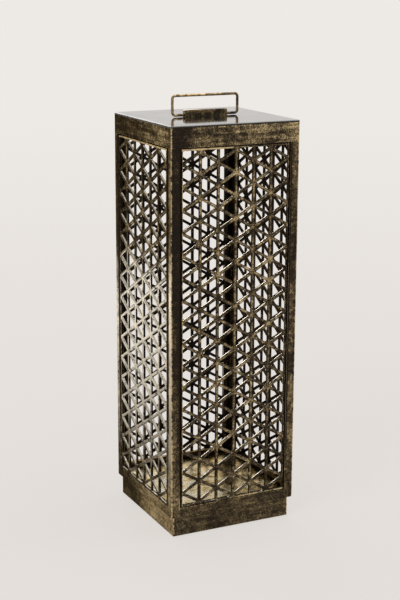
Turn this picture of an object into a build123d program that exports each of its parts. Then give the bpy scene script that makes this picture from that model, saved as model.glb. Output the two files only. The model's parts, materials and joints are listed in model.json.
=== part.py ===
from build123d import *
import math
import os

os.makedirs("parts", exist_ok=True)

# Square lantern standing on its feet at z = 0, centred on the Z axis, front towards -Y.
# All sizes in millimetres.

# --- body ---
body_width = 200.0          # outer width of the frame and the cap
foot_height = 1.5           # how far the feet stand below the plinth
plinth_height = 30.8
plinth_inset = 5.0          # plinth set back from the frame on every side
rail_height = 14.2          # bottom rail
opening_height = 523.1      # from the rail's top edge to the cap's bottom edge
cap_height = 30.4
edge_radius = 1.2           # softened outer edges

half = body_width / 2
plinth_bottom = foot_height
frame_bottom = plinth_bottom + plinth_height
opening_bottom = frame_bottom + rail_height
cap_bottom = opening_bottom + opening_height
lid_top = cap_bottom + cap_height

# --- folded sheet frame ---
sheet = 1.5                 # sheet thickness of posts and rails
post_face = 13.7            # visible width of a post
rebate_depth = 2.7          # the panels sit in a rebate this deep
ledge_width = 3.9           # ledge behind the panel's border
flange_width = 14.0         # bottom flange of the rails

# --- lattice panel ---
side_gap = 2.6              # shadow gap between the panel and a post
top_gap = 1.6               # above the panel
bottom_gap = 0.8            # below it
panel_thickness = rebate_depth
side_border = 1.4           # strip along the panel's upright edges
end_border = 2.5            # strip along its top and bottom edges
bar_width = 4.3             # lattice bars
bar_slope = 30              # slanted bars, degrees from level
bar_overrun = 1.1           # slanted bars are drawn this much too long, then trimmed
columns = 6                 # lattice columns across the panel

# --- floor pan ---
pan_half = 94.0
pan_sheet = 1.5
pan_height = 6.0

# --- fasteners ---
screw_play = 0.05           # radial play of a screw in its hole
m4_radius = 2.0
m4_head_radius = 3.5
m4_head_height = 2.4
m4_key_radius = 1.5         # hexagonal recess in the head
m4_sink_radius = 4.0        # countersunk head
m3_radius = 1.5
m3_head_radius = 2.75
m3_head_height = 1.8
m3_key_radius = 1.2
key_depth = 0.6             # depth of a hexagonal recess, as a share of the head's height
set_key_radius = 0.85       # recess in the end of a headless M3 set screw

# --- plinth and base ---
plinth_wall = 2.0
plinth_flange = 14.0        # inward flange at the plinth's top
plinth_screw_x = 76.0       # along each side, from its middle
plinth_screw_y = 88.5       # out from the Z axis
gusset_inner = 70.0
gusset_outer = 92.0
gusset_thickness = 4.3
base_thickness = 4.0
base_recess = 2.0           # base plate's underside above the plinth's lower edge
base_play = 0.2
base_screw_y = 85.0
bracket_width = 20.0
bracket_foot = 14.0
bracket_rise = 12.0
bracket_thickness = 3.0
foot_radius = 9.0
foot_bevel = 0.5
foot_place = 80.0

# --- cap ---
cap_wall = 2.5
cap_play = 0.2
lid_thickness = 3.0
lid_bevel = 1.0
top_rail_thickness = 2.0
top_opening = 130.0         # opening for the light in the top rails
lug_x = 60.0
lug_y = 84.0                # screw's distance from the Z axis
lug_width = 18.0
lug_foot = 20.5
lug_wall = 2.0
lug_rise = 16.0
lug_thickness = 4.0

# --- handle ---
rod_radius = 2.0
axis_above_lid = 2.6        # hinge axis over the lid
bail_width = 104.0          # between the centrelines of the uprights
bail_rise = 27.8            # hinge axis to the top bar's centreline
bail_corner = 4.6           # bend radius of the centreline
block_length = 67.0
block_depth = 8.5
block_height = 9.6          # part above the lid
block_seat = 1.5            # part sunk into the lid
block_bevel = 0.4
seat_play = 0.05
pivot_depth = 14.0          # rod inside the block at each end
bore_play = 0.05            # radial play of the rod in its bore
hinge_screw_x = 10.0
hinge_screw_bite = 7.0
friction_x = 27.0
backing_length = 70.0
backing_width = 20.0
backing_corner = 4.0
backing_thickness = 3.0

# --- diffuser and LED board ---
diffuser_size = 138.0
diffuser_thickness = 3.0
clip_width = 16.0
clip_sheet = 1.2
clip_foot = 9.0
clip_tongue = 6.0
clip_play = 0.3
clip_screw_y = 75.0
standoff_length = 11.0
standoff_radius = 3.0
standoff_x = 50.0
standoff_y = 40.0
standoff_bite = 8.0         # depth of the tapped hole in a standoff
screw_spare = 1.0           # tapped depth left beyond a screw's end
spreader_length = 120.0
spreader_width = 100.0
spreader_thickness = 2.0
board_thickness = 1.6
led_board_length = 84.0
led_board_width = 64.0
chip_columns = 5
chip_rows = 4
chip_pitch = 15.0
chip_length = 3.5
chip_width = 2.8
chip_height = 0.8

# --- battery ---
cell_radius = 9.2
cell_length = 65.0
cell_play = 0.3
cell_space = 1.0
cradle_x = 82.5
cradle_wall = 1.2
cradle_height = 21.0
cradle_ear = 10.0
cradle_ear_width = 11.0
cradle_screw_bite = 2.0

# --- driver board, switch and charging socket ---
driver_length = 90.0
driver_width = 24.0
driver_y = 83.0
driver_drop = 11.4          # board's upper face below the lid
driver_spacer_x = 40.0
driver_spacer_y = 8.0       # from the board's middle line
driver_blocks = [(-12.0, 14.0, 12.0, 8.0), (36.0, 5.0, 5.0, 1.2)]   # x, length, width, height
capacitors_x = [2.0, 12.0]
capacitor_radius = 4.0
capacitor_height = 9.0
socket_x = -28.0
socket_width = 9.0
socket_height = 3.2
socket_play = 0.2
socket_shell = 0.35
socket_length = 10.6
socket_recess = 0.8         # mouth behind the cap's outer face
button_x = 25.0
button_drop = 4.0           # button's axis below the driver board
button_radius = 4.0
button_play = 0.15
button_bevel = 0.3
button_flange = 1.0
button_flange_radius = 5.0
button_travel = 1.0
flange_play = 0.1
stem_radius = 1.5
stem_play = 0.05
stem_length = 6.0
switch_size = 12.0
switch_depth = 8.0
switch_floor = 1.5

# --- leads ---
lead_radius = 0.8
lead_bend = 4.0
lead_drop = 6.0             # below the lid
led_leads_x = [-24.0, -20.0]
lead_y = 76.0
lead_end_y = 44.0
battery_lead_x = 31.0
battery_lead_y = 58.0
lead_space = 4.0

sides = ["front", "right", "back", "left"]
corners = ["front_left", "front_right", "back_right", "back_left"]
m4_screw = (m4_radius, m4_head_radius, m4_head_height, m4_key_radius)
m3_screw = (m3_radius, m3_head_radius, m3_head_height, m3_key_radius)


def on_all_sides(along, out):
    """The same pair of places on each of the four sides, mirrored about the side's middle."""
    pairs = [(along, -out), (-along, -out), (along, out), (-along, out)]
    turned = [(-out, along), (-out, -along), (out, along), (out, -along)]
    return pairs + turned


def rectangle_of(x, y):
    """Four places, mirrored about both axes."""
    return [(x, y), (-x, y), (-x, -y), (x, -y)]


plinth_screws_at = on_all_sides(plinth_screw_x, plinth_screw_y)
base_screws_at = [(0, -base_screw_y), (base_screw_y, 0), (0, base_screw_y), (-base_screw_y, 0)]
clip_screws_at = [(0, -clip_screw_y), (clip_screw_y, 0), (0, clip_screw_y), (-clip_screw_y, 0)]
cap_screws_at = rectangle_of(lug_x, lug_y)
hinge_screws_at = [(-hinge_screw_x, 0), (hinge_screw_x, 0)]
standoffs_at = rectangle_of(standoff_x, standoff_y)
cradle_screw_y = (2 * cell_length + cell_space) / 2 + cradle_ear / 2
cradle_screws_at = rectangle_of(cradle_x, cradle_screw_y)
driver_spacers_at = [(x, driver_y + y) for x, y in rectangle_of(driver_spacer_x, driver_spacer_y)]


def write(piece, name):
    """Label a finished sub-part and write its STEP file."""
    piece.label = name
    export_step(piece, f"parts/{name}.step")


def level(height, quarter=0):
    """Horizontal plane at a height, turned by quarter turns about the Z axis."""
    return Plane.XY.offset(height).rotated((0, 0, 90 * quarter))


def side_plane(quarter, distance):
    """Upright plane facing out of one side, at a distance from the Z axis."""
    turn = math.radians(90 * quarter)
    along = Vector(math.cos(turn), math.sin(turn), 0)
    outward = Vector(math.sin(turn), -math.cos(turn), 0)
    return Plane(outward * distance, x_dir=along, z_dir=outward)


def screw_group(name, places, seat, shank, radius, head_radius, head_height, key_radius):
    """Pan-head screws standing head down: the head hangs under the seat height."""
    with BuildPart() as screws:
        with BuildSketch(Plane.XY.offset(seat - head_height)):
            with Locations(*places):
                Circle(head_radius)
        extrude(amount=head_height)
        with BuildSketch(Plane.XY.offset(seat)):
            with Locations(*places):
                Circle(radius)
        extrude(amount=shank)
        with BuildSketch(Plane.XY.offset(seat - head_height)):
            with Locations(*places):
                RegularPolygon(key_radius, 6)
        extrude(amount=key_depth * head_height, mode=Mode.SUBTRACT)
    write(screws.part, name)


def mitred_strip(outer, inner):
    """Plan of one side of a mitred square frame, its outer corners softened."""
    Polygon((-outer, -outer), (outer, -outer), (inner, -inner), (-inner, -inner), align=None)
    RectangleRounded(2 * outer, 2 * outer, edge_radius, mode=Mode.INTERSECT)


# ---------------------------------------------------------------- frame

# Corner post: one folded sheet. From the corner each leg runs along the face, turns in at the
# opening and turns again into the ledge that the panel is soldered to.
post_height = cap_bottom - frame_bottom
ledge_end = post_face + ledge_width
rebate_back = rebate_depth + sheet
post_profile = [
    (ledge_end, rebate_depth),
    (post_face, rebate_depth),
    (post_face, 0),
    (0, 0),
    (0, post_face),
    (rebate_depth, post_face),
    (rebate_depth, ledge_end),
    (rebate_back, ledge_end),
    (rebate_back, post_face - sheet),
    (sheet, post_face - sheet),
    (sheet, sheet),
    (post_face - sheet, sheet),
    (post_face - sheet, rebate_back),
    (ledge_end, rebate_back),
]
for quarter, corner in enumerate(corners):
    with BuildPart() as corner_post:
        with BuildSketch(level(frame_bottom, quarter)):
            with BuildLine():
                Polyline([(x - half, y - half) for x, y in post_profile], close=True)
            make_face()
            outer_corner = vertices().sort_by(Axis((0, 0, 0), (1, 1, 0)))[0]
            fillet(outer_corner, edge_radius)
        extrude(amount=post_height)
    write(corner_post.part, f"corner_post_{corner}")

# Bottom rail: folded sheet between two posts, with the panel's ledge on top and a flange below.
web_half = half - post_face
ledge_half = half - ledge_end
for quarter, side in enumerate(sides):
    with BuildPart() as bottom_rail:
        with BuildSketch(level(frame_bottom, quarter)):
            with Locations((0, sheet / 2 - half)):
                Rectangle(2 * web_half, sheet)
        extrude(amount=rail_height)
        with BuildSketch(level(opening_bottom - sheet, quarter)):
            with Locations((0, rebate_depth / 2 - half)):
                Rectangle(2 * web_half, rebate_depth)
            with Locations((0, rebate_back / 2 - half)):
                Rectangle(2 * ledge_half, rebate_back)
        extrude(amount=sheet)
        with BuildSketch(level(opening_bottom - sheet, quarter)):
            with Locations((0, rebate_depth + sheet / 2 - half)):
                Rectangle(2 * ledge_half, sheet)
        extrude(amount=sheet + ledge_width)
        with BuildSketch(level(frame_bottom, quarter)):
            with Locations((0, flange_width / 2 - half)):
                Rectangle(2 * ledge_half, flange_width)
        extrude(amount=sheet)
        with BuildSketch(Plane.XY.offset(frame_bottom)):
            with Locations(*plinth_screws_at):
                Circle(m4_radius + screw_play)
        extrude(amount=sheet, mode=Mode.SUBTRACT)
    write(bottom_rail.part, f"bottom_rail_{side}")

# Gusset plates: tie two bottom rails at each corner and take the plinth screws.
flange_top = frame_bottom + sheet
with BuildPart() as bottom_gussets:
    with BuildSketch(Plane.XY.offset(flange_top)):
        with GridLocations(gusset_inner + gusset_outer, gusset_inner + gusset_outer, 2, 2):
            Rectangle(gusset_outer - gusset_inner, gusset_outer - gusset_inner)
        with Locations(*plinth_screws_at):
            Circle(m4_radius + screw_play, mode=Mode.SUBTRACT)
    extrude(amount=gusset_thickness)
write(bottom_gussets.part, "bottom_gussets")

# Lattice panel: plate pierced so that three families of bars cross on an equilateral grid.
panel_width = body_width - 2 * (post_face + side_gap)
panel_height = opening_height - top_gap - bottom_gap
panel_centre = opening_bottom + bottom_gap + panel_height / 2
column_pitch = (panel_width - side_border) / columns
node_pitch = 2 * column_pitch / math.sqrt(3)
bar_length = bar_overrun * panel_width / math.cos(math.radians(bar_slope))
reach = (panel_height + panel_width * math.tan(math.radians(bar_slope))) / 2
bar_steps = int(reach / node_pitch)
with BuildSketch() as lattice:
    with Locations((0, panel_centre)):
        Rectangle(panel_width, panel_height)
        Rectangle(
            panel_width - 2 * side_border,
            panel_height - 2 * end_border,
            mode=Mode.SUBTRACT,
        )
        with GridLocations(column_pitch, 0, columns - 1, 1):
            Rectangle(bar_width, panel_height)
    for step in range(-bar_steps, bar_steps + 1):
        with Locations((0, panel_centre + step * node_pitch)):
            Rectangle(bar_length, bar_width, rotation=bar_slope)
            Rectangle(bar_length, bar_width, rotation=-bar_slope)
    with Locations((0, panel_centre)):
        Rectangle(panel_width, panel_height, mode=Mode.INTERSECT)
for quarter, side in enumerate(sides):
    with BuildPart() as lattice_panel:
        with BuildSketch(side_plane(quarter, half - panel_thickness)):
            add(lattice.sketch)
        extrude(amount=panel_thickness)
    write(lattice_panel.part, f"lattice_panel_{side}")

# Top rail: flat strip on the post tops, mitred to its neighbours, with a lip down behind the panel.
for quarter, side in enumerate(sides):
    with BuildPart() as top_rail:
        with BuildSketch(level(cap_bottom, quarter)):
            mitred_strip(half - cap_wall - cap_play, top_opening / 2)
        extrude(amount=top_rail_thickness)
        with BuildSketch(level(cap_bottom - ledge_width, quarter)):
            with Locations((0, rebate_depth + sheet / 2 - half)):
                Rectangle(2 * ledge_half, sheet)
        extrude(amount=ledge_width)
        with BuildSketch(Plane.XY.offset(cap_bottom)):
            with Locations(*cap_screws_at):
                Circle(m4_radius + screw_play)
            with Locations(*clip_screws_at):
                Circle(m3_radius + screw_play)
        extrude(amount=top_rail_thickness, mode=Mode.SUBTRACT)
    write(top_rail.part, f"top_rail_{side}")

# Floor pan: polished sheet with its edges turned down, resting on the rail flanges.
pan_top = flange_top + pan_height
with BuildPart() as floor_pan:
    with BuildSketch(Plane.XY.offset(flange_top)):
        Rectangle(2 * pan_half, 2 * pan_half)
    extrude(amount=pan_height)
    fillet(floor_pan.edges().group_by(Axis.Z)[-1], pan_sheet / 2)
    with BuildSketch(Plane.XY.offset(flange_top)):
        Rectangle(2 * (pan_half - pan_sheet), 2 * (pan_half - pan_sheet))
    extrude(amount=pan_height - pan_sheet, mode=Mode.SUBTRACT)
write(floor_pan.part, "floor_pan")

# ---------------------------------------------------------------- plinth and base

plinth_half = half - plinth_inset
plinth_inner = plinth_half - plinth_wall
for quarter, side in enumerate(sides):
    with BuildPart() as plinth_side:
        with BuildSketch(level(plinth_bottom, quarter)):
            mitred_strip(plinth_half, plinth_inner)
        extrude(amount=plinth_height)
        with BuildSketch(level(frame_bottom - plinth_wall, quarter)):
            mitred_strip(plinth_half, plinth_inner - plinth_flange)
        extrude(amount=plinth_wall)
        with BuildSketch(Plane.XY.offset(frame_bottom - plinth_wall)):
            with Locations(*plinth_screws_at):
                Circle(m4_radius + screw_play)
        extrude(amount=plinth_wall, mode=Mode.SUBTRACT)
    write(plinth_side.part, f"plinth_side_{side}")

plinth_screw_length = plinth_wall + sheet + gusset_thickness
plinth_seat = frame_bottom - plinth_wall
screw_group("plinth_screws", plinth_screws_at, plinth_seat, plinth_screw_length, *m4_screw)

# Base plate: heavy steel plate that closes the plinth and keeps the lantern upright.
base_bottom = plinth_bottom + base_recess
base_top = base_bottom + base_thickness
base_half = plinth_inner - base_play
with BuildPart() as base_plate:
    with BuildSketch(Plane.XY.offset(base_bottom)):
        Rectangle(2 * base_half, 2 * base_half)
    extrude(amount=base_thickness)
    with Locations(Plane.XY.offset(base_bottom).rotated((180, 0, 0))):
        with Locations(*base_screws_at):
            CounterSinkHole(m4_radius + screw_play, m4_sink_radius + screw_play, depth=base_thickness)
write(base_plate.part, "base_plate")

# Base brackets: one angle soldered to the middle of each plinth side, tapped for a base screw.
with BuildPart() as base_brackets:
    for quarter in range(4):
        with BuildSketch(level(base_top, quarter)):
            with Locations((0, bracket_foot / 2 - plinth_inner)):
                Rectangle(bracket_width, bracket_foot)
        extrude(amount=bracket_thickness)
        with BuildSketch(level(base_top, quarter)):
            with Locations((0, bracket_thickness / 2 - plinth_inner)):
                Rectangle(bracket_width, bracket_thickness)
        extrude(amount=bracket_rise)
    with BuildSketch(Plane.XY.offset(base_top)):
        with Locations(*base_screws_at):
            Circle(m4_radius + screw_play)
    extrude(amount=bracket_thickness, mode=Mode.SUBTRACT)
write(base_brackets.part, "base_brackets")

# Base screws: countersunk, flush with the underside of the base plate.
sink_height = m4_sink_radius - m4_radius
with BuildPart() as base_screws:
    with Locations(*[(x, y, base_bottom) for x, y in base_screws_at]):
        Cone(m4_sink_radius, m4_radius, sink_height, align=(Align.CENTER, Align.CENTER, Align.MIN))
        Cylinder(
            m4_radius,
            base_thickness + bracket_thickness,
            align=(Align.CENTER, Align.CENTER, Align.MIN),
        )
        Cylinder(
            m4_key_radius,
            key_depth * sink_height,
            align=(Align.CENTER, Align.CENTER, Align.MIN),
            mode=Mode.SUBTRACT,
        )
write(base_screws.part, "base_screws")

with BuildPart() as feet:
    with BuildSketch():
        with GridLocations(2 * foot_place, 2 * foot_place, 2, 2):
            Circle(foot_radius)
    extrude(amount=base_bottom)
    chamfer(feet.edges().group_by(Axis.Z)[0], foot_bevel)
write(feet.part, "feet")

# ---------------------------------------------------------------- cap

# Heights of the driver board and of what opens through the back wall from it.
driver_bottom = lid_top - lid_thickness - driver_drop - board_thickness
button_z = driver_bottom - button_drop
socket_z = driver_bottom - socket_height / 2

# Cap sides: four mitred walls, soldered to each other and to the lid. The back one has the
# charging socket's slot and the switch button's hole.
lid_bottom = lid_top - lid_thickness
wall_height = lid_bottom - cap_bottom
for quarter, side in enumerate(sides):
    with BuildPart() as cap_side:
        with BuildSketch(level(cap_bottom, quarter)):
            mitred_strip(half, half - cap_wall)
        extrude(amount=wall_height)
        if side == "back":
            with BuildSketch(Plane.XZ.offset(-half)):
                with Locations((button_x, button_z)):
                    Circle(button_radius + button_play)
                with Locations((socket_x, socket_z)):
                    SlotOverall(socket_width + 2 * socket_play, socket_height + 2 * socket_play)
            extrude(amount=cap_wall, mode=Mode.SUBTRACT)
    write(cap_side.part, f"cap_side_{side}")

with BuildPart() as lid_plate:
    with BuildSketch(Plane.XY.offset(lid_bottom)):
        RectangleRounded(body_width, body_width, edge_radius)
    extrude(amount=lid_thickness)
    chamfer(lid_plate.edges().group_by(Axis.Z)[-1], lid_bevel)
    with BuildSketch(Plane.XY.offset(lid_top - block_seat)):
        Rectangle(block_length + 2 * seat_play, block_depth + 2 * seat_play)
    extrude(amount=block_seat, mode=Mode.SUBTRACT)
    with BuildSketch(Plane.XY.offset(lid_bottom)):
        with Locations(*hinge_screws_at):
            Circle(m4_radius + screw_play)
    extrude(amount=lid_thickness, mode=Mode.SUBTRACT)
    with BuildSketch(Plane.XY.offset(lid_bottom)):
        with Locations(*cradle_screws_at):
            Circle(m3_radius + screw_play)
    extrude(amount=cradle_screw_bite, mode=Mode.SUBTRACT)
write(lid_plate.part, "lid_plate")

# Cap lugs: angles soldered inside the front and back walls, drawn down on the top rails by screws.
lug_bottom = cap_bottom + top_rail_thickness
wall_inside = half - cap_wall
with BuildPart() as cap_lugs:
    for turn in (0, 2):
        with BuildSketch(level(lug_bottom, turn)):
            with Locations((0, lug_foot / 2 - wall_inside)):
                with GridLocations(2 * lug_x, 0, 2, 1):
                    Rectangle(lug_width, lug_foot)
        extrude(amount=lug_thickness)
        with BuildSketch(level(lug_bottom, turn)):
            with Locations((0, lug_wall / 2 - wall_inside)):
                with GridLocations(2 * lug_x, 0, 2, 1):
                    Rectangle(lug_width, lug_wall)
        extrude(amount=lug_rise)
    with BuildSketch(Plane.XY.offset(lug_bottom)):
        with Locations(*cap_screws_at):
            Circle(m4_radius + screw_play)
    extrude(amount=lug_thickness, mode=Mode.SUBTRACT)
write(cap_lugs.part, "cap_lugs")

cap_screw_length = top_rail_thickness + lug_thickness
screw_group("cap_screws", cap_screws_at, cap_bottom, cap_screw_length, *m4_screw)

# ---------------------------------------------------------------- handle

hinge_z = lid_top + axis_above_lid
block_bottom = lid_top - block_seat
bore_mouth = block_length / 2
with BuildPart() as hinge_block:
    with BuildSketch(Plane.XY.offset(block_bottom)):
        Rectangle(block_length, block_depth)
    extrude(amount=block_seat + block_height)
    chamfer(hinge_block.edges().group_by(Axis.Z)[-1], block_bevel)
    for direction in (-1, 1):
        end_face = Plane((direction * bore_mouth, 0, hinge_z), z_dir=(-direction, 0, 0))
        with BuildSketch(end_face):
            Circle(rod_radius + bore_play)
        extrude(amount=pivot_depth + bore_play, mode=Mode.SUBTRACT)
    with BuildSketch(Plane.XY.offset(block_bottom)):
        with Locations(*hinge_screws_at):
            Circle(m4_radius + screw_play)
    extrude(amount=hinge_screw_bite + screw_play, mode=Mode.SUBTRACT)
    with BuildSketch(Plane.XZ.offset(-block_depth / 2)):
        with Locations((-friction_x, hinge_z), (friction_x, hinge_z)):
            Circle(m3_radius + screw_play)
    extrude(amount=block_depth / 2, mode=Mode.SUBTRACT)
write(hinge_block.part, "hinge_block")

# Friction screws: short set screws in the back of the block that press on the pivots.
set_screw_length = block_depth / 2 - rod_radius - 2 * bore_play
with BuildPart() as friction_screws:
    with BuildSketch(Plane.XZ.offset(-block_depth / 2)):
        with Locations((-friction_x, hinge_z), (friction_x, hinge_z)):
            Circle(m3_radius)
    extrude(amount=set_screw_length)
    with BuildSketch(Plane.XZ.offset(-block_depth / 2)):
        with Locations((-friction_x, hinge_z), (friction_x, hinge_z)):
            RegularPolygon(set_key_radius, 6)
    extrude(amount=set_screw_length / 2, mode=Mode.SUBTRACT)
write(friction_screws.part, "friction_screws")

# Bail handle: one rod bent into a rectangle, its two ends turned in as pivots.
upright_x = bail_width / 2
pivot_end = block_length / 2 - pivot_depth
with BuildPart() as handle_bail:
    with BuildLine() as bail_path:
        FilletPolyline(
            (-pivot_end, 0, hinge_z),
            (-upright_x, 0, hinge_z),
            (-upright_x, 0, hinge_z + bail_rise),
            (upright_x, 0, hinge_z + bail_rise),
            (upright_x, 0, hinge_z),
            (pivot_end, 0, hinge_z),
            radius=bail_corner,
        )
    with BuildSketch(Plane(bail_path.line @ 0, z_dir=bail_path.line % 0)):
        Circle(rod_radius)
    sweep()
write(handle_bail.part, "handle_bail")

with BuildPart() as backing_plate:
    with BuildSketch(Plane.XY.offset(lid_bottom - backing_thickness)):
        RectangleRounded(backing_length, backing_width, backing_corner)
        with Locations(*hinge_screws_at):
            Circle(m4_radius + screw_play, mode=Mode.SUBTRACT)
    extrude(amount=backing_thickness)
write(backing_plate.part, "hinge_backing_plate")

hinge_seat = lid_bottom - backing_thickness
hinge_screw_length = block_bottom + hinge_screw_bite - hinge_seat
screw_group("hinge_screws", hinge_screws_at, hinge_seat, hinge_screw_length, *m4_screw)

# ---------------------------------------------------------------- light unit

# Diffuser: opal sheet over the opening in the top rails, held by a stepped clip on each side.
diffuser_bottom = cap_bottom + top_rail_thickness
diffuser_top = diffuser_bottom + diffuser_thickness
with BuildPart() as diffuser:
    with BuildSketch(Plane.XY.offset(diffuser_bottom)):
        RectangleRounded(diffuser_size, diffuser_size, diffuser_thickness)
    extrude(amount=diffuser_thickness)
write(diffuser.part, "diffuser")

clip_step = diffuser_size / 2 + clip_play
with BuildPart() as diffuser_clips:
    for quarter in range(4):
        with BuildSketch(level(diffuser_bottom, quarter)):
            with Locations((0, -clip_step - clip_foot / 2)):
                Rectangle(clip_width, clip_foot)
        extrude(amount=clip_sheet)
        with BuildSketch(level(diffuser_bottom, quarter)):
            with Locations((0, -clip_step - clip_sheet / 2)):
                Rectangle(clip_width, clip_sheet)
        extrude(amount=diffuser_thickness + clip_sheet)
        with BuildSketch(level(diffuser_top, quarter)):
            with Locations((0, clip_tongue / 2 - clip_step - clip_sheet)):
                Rectangle(clip_width, clip_tongue)
        extrude(amount=clip_sheet)
    with BuildSketch(Plane.XY.offset(diffuser_bottom)):
        with Locations(*clip_screws_at):
            Circle(m3_radius + screw_play)
    extrude(amount=clip_sheet, mode=Mode.SUBTRACT)
write(diffuser_clips.part, "diffuser_clips")

# Clip screws go in from above, so their heads stand on the clips.
clip_screw_length = clip_sheet + top_rail_thickness
with BuildPart() as clip_screws:
    with BuildSketch(Plane.XY.offset(cap_bottom)):
        with Locations(*clip_screws_at):
            Circle(m3_radius)
    extrude(amount=clip_screw_length)
    with BuildSketch(Plane.XY.offset(cap_bottom + clip_screw_length)):
        with Locations(*clip_screws_at):
            Circle(m3_head_radius)
            RegularPolygon(m3_key_radius, 6, mode=Mode.SUBTRACT)
    extrude(amount=m3_head_height)
write(clip_screws.part, "clip_screws")

# Heat spreader, hung under the lid on four standoffs, with the LED board under it.
spreader_bottom = lid_bottom - standoff_length - spreader_thickness
with BuildPart() as standoffs:
    with BuildSketch(Plane.XY.offset(spreader_bottom + spreader_thickness)):
        with Locations(*standoffs_at):
            Circle(standoff_radius)
    extrude(amount=standoff_length)
    with BuildSketch(Plane.XY.offset(spreader_bottom + spreader_thickness)):
        with Locations(*standoffs_at):
            Circle(m3_radius + screw_play)
    extrude(amount=standoff_bite, mode=Mode.SUBTRACT)
write(standoffs.part, "standoffs")

with BuildPart() as heat_spreader:
    with BuildSketch(Plane.XY.offset(spreader_bottom)):
        RectangleRounded(spreader_length, spreader_width, standoff_radius)
        with Locations(*standoffs_at):
            Circle(m3_radius + screw_play, mode=Mode.SUBTRACT)
    extrude(amount=spreader_thickness)
write(heat_spreader.part, "heat_spreader")

spreader_screw_length = spreader_thickness + standoff_bite - screw_spare
screw_group("spreader_screws", standoffs_at, spreader_bottom, spreader_screw_length, *m3_screw)

board_bottom = spreader_bottom - board_thickness
with BuildPart() as led_board:
    with BuildSketch(Plane.XY.offset(board_bottom)):
        Rectangle(led_board_length, led_board_width)
    extrude(amount=board_thickness)
write(led_board.part, "led_board")

with BuildPart() as led_chips:
    with BuildSketch(Plane.XY.offset(board_bottom - chip_height)):
        with GridLocations(chip_pitch, chip_pitch, chip_columns, chip_rows):
            Rectangle(chip_length, chip_width)
    extrude(amount=chip_height)
write(led_chips.part, "led_chips")

# Battery: two cells in line on each side, in a cradle screwed up into the lid.
cradle_inner = 2 * cell_radius + 2 * cell_play
cradle_outer = cradle_inner + 2 * cradle_wall
cradle_span = 2 * cell_length + cell_space + 2 * cell_play
cradle_bottom = lid_bottom - cradle_height
for direction, side in ((-1, "left"), (1, "right")):
    with BuildPart() as battery_cradle:
        with BuildSketch(Plane.XY.offset(cradle_bottom)):
            with Locations((direction * cradle_x, 0)):
                Rectangle(cradle_outer, cradle_span + 2 * cradle_wall)
        extrude(amount=cradle_height)
        with BuildSketch(Plane.XY.offset(lid_bottom - cradle_wall)):
            with Locations((direction * cradle_x, 0)):
                Rectangle(cradle_ear_width, cradle_span + 2 * cradle_ear)
        extrude(amount=cradle_wall)
        with BuildSketch(Plane.XY.offset(cradle_bottom)):
            with Locations((direction * cradle_x, 0)):
                Rectangle(cradle_inner, cradle_span)
        extrude(amount=cradle_height - cradle_wall, mode=Mode.SUBTRACT)
        with BuildSketch(Plane.XY.offset(lid_bottom - cradle_wall)):
            with Locations(*cradle_screws_at):
                Circle(m3_radius + screw_play)
        extrude(amount=cradle_wall, mode=Mode.SUBTRACT)
    write(battery_cradle.part, f"battery_cradle_{side}")

cradle_screw_length = cradle_wall + cradle_screw_bite
cradle_seat = lid_bottom - cradle_wall
screw_group("cradle_screws", cradle_screws_at, cradle_seat, cradle_screw_length, *m3_screw)

cell_z = lid_bottom - cradle_wall - cell_play - cell_radius
with BuildPart() as battery_cells:
    for row in (-1, 1):
        start = row * (cell_space + cell_length) / 2 + cell_length / 2
        with BuildSketch(Plane.XZ.offset(-start)):
            with Locations((-cradle_x, cell_z), (cradle_x, cell_z)):
                Circle(cell_radius)
        extrude(amount=cell_length)
write(battery_cells.part, "battery_cells")

# Driver board, hung behind the heat spreader, carrying the switch and the charging socket.
with BuildPart() as driver_board:
    with BuildSketch(Plane.XY.offset(driver_bottom)):
        with Locations((0, driver_y)):
            Rectangle(driver_length, driver_width)
        with Locations(*driver_spacers_at):
            Circle(m3_radius + screw_play, mode=Mode.SUBTRACT)
    extrude(amount=board_thickness)
write(driver_board.part, "driver_board")

with BuildPart() as driver_spacers:
    with BuildSketch(Plane.XY.offset(driver_bottom + board_thickness)):
        with Locations(*driver_spacers_at):
            Circle(standoff_radius)
    extrude(amount=driver_drop)
    with BuildSketch(Plane.XY.offset(driver_bottom + board_thickness)):
        with Locations(*driver_spacers_at):
            Circle(m3_radius + screw_play)
    extrude(amount=standoff_bite, mode=Mode.SUBTRACT)
write(driver_spacers.part, "driver_spacers")

driver_screw_length = board_thickness + standoff_bite - screw_spare
screw_group("driver_screws", driver_spacers_at, driver_bottom, driver_screw_length, *m3_screw)

with BuildPart() as driver_parts:
    for x, length, width, height in driver_blocks:
        with BuildSketch(Plane.XY.offset(driver_bottom - height)):
            with Locations((x, driver_y)):
                Rectangle(length, width)
        extrude(amount=height)
    with BuildSketch(Plane.XY.offset(driver_bottom - capacitor_height)):
        with Locations(*[(x, driver_y) for x in capacitors_x]):
            Circle(capacitor_radius)
    extrude(amount=capacitor_height)
write(driver_parts.part, "driver_parts")

# Charging socket: an open metal shell with a contact tongue, its mouth just inside the slot.
socket_back = half - socket_recess - socket_length
with BuildPart() as charge_socket:
    with BuildSketch(Plane.XZ.offset(socket_recess - half)):
        with Locations((socket_x, socket_z)):
            SlotOverall(socket_width, socket_height)
            SlotOverall(
                socket_width - 2 * socket_shell,
                socket_height - 2 * socket_shell,
                mode=Mode.SUBTRACT,
            )
            Rectangle(socket_width - socket_height, 2 * socket_shell)
    extrude(amount=socket_length)
    with BuildSketch(Plane.XZ.offset(-socket_back - socket_shell)):
        with Locations((socket_x, socket_z)):
            SlotOverall(socket_width, socket_height)
    extrude(amount=socket_shell)
write(charge_socket.part, "charge_socket")

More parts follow.
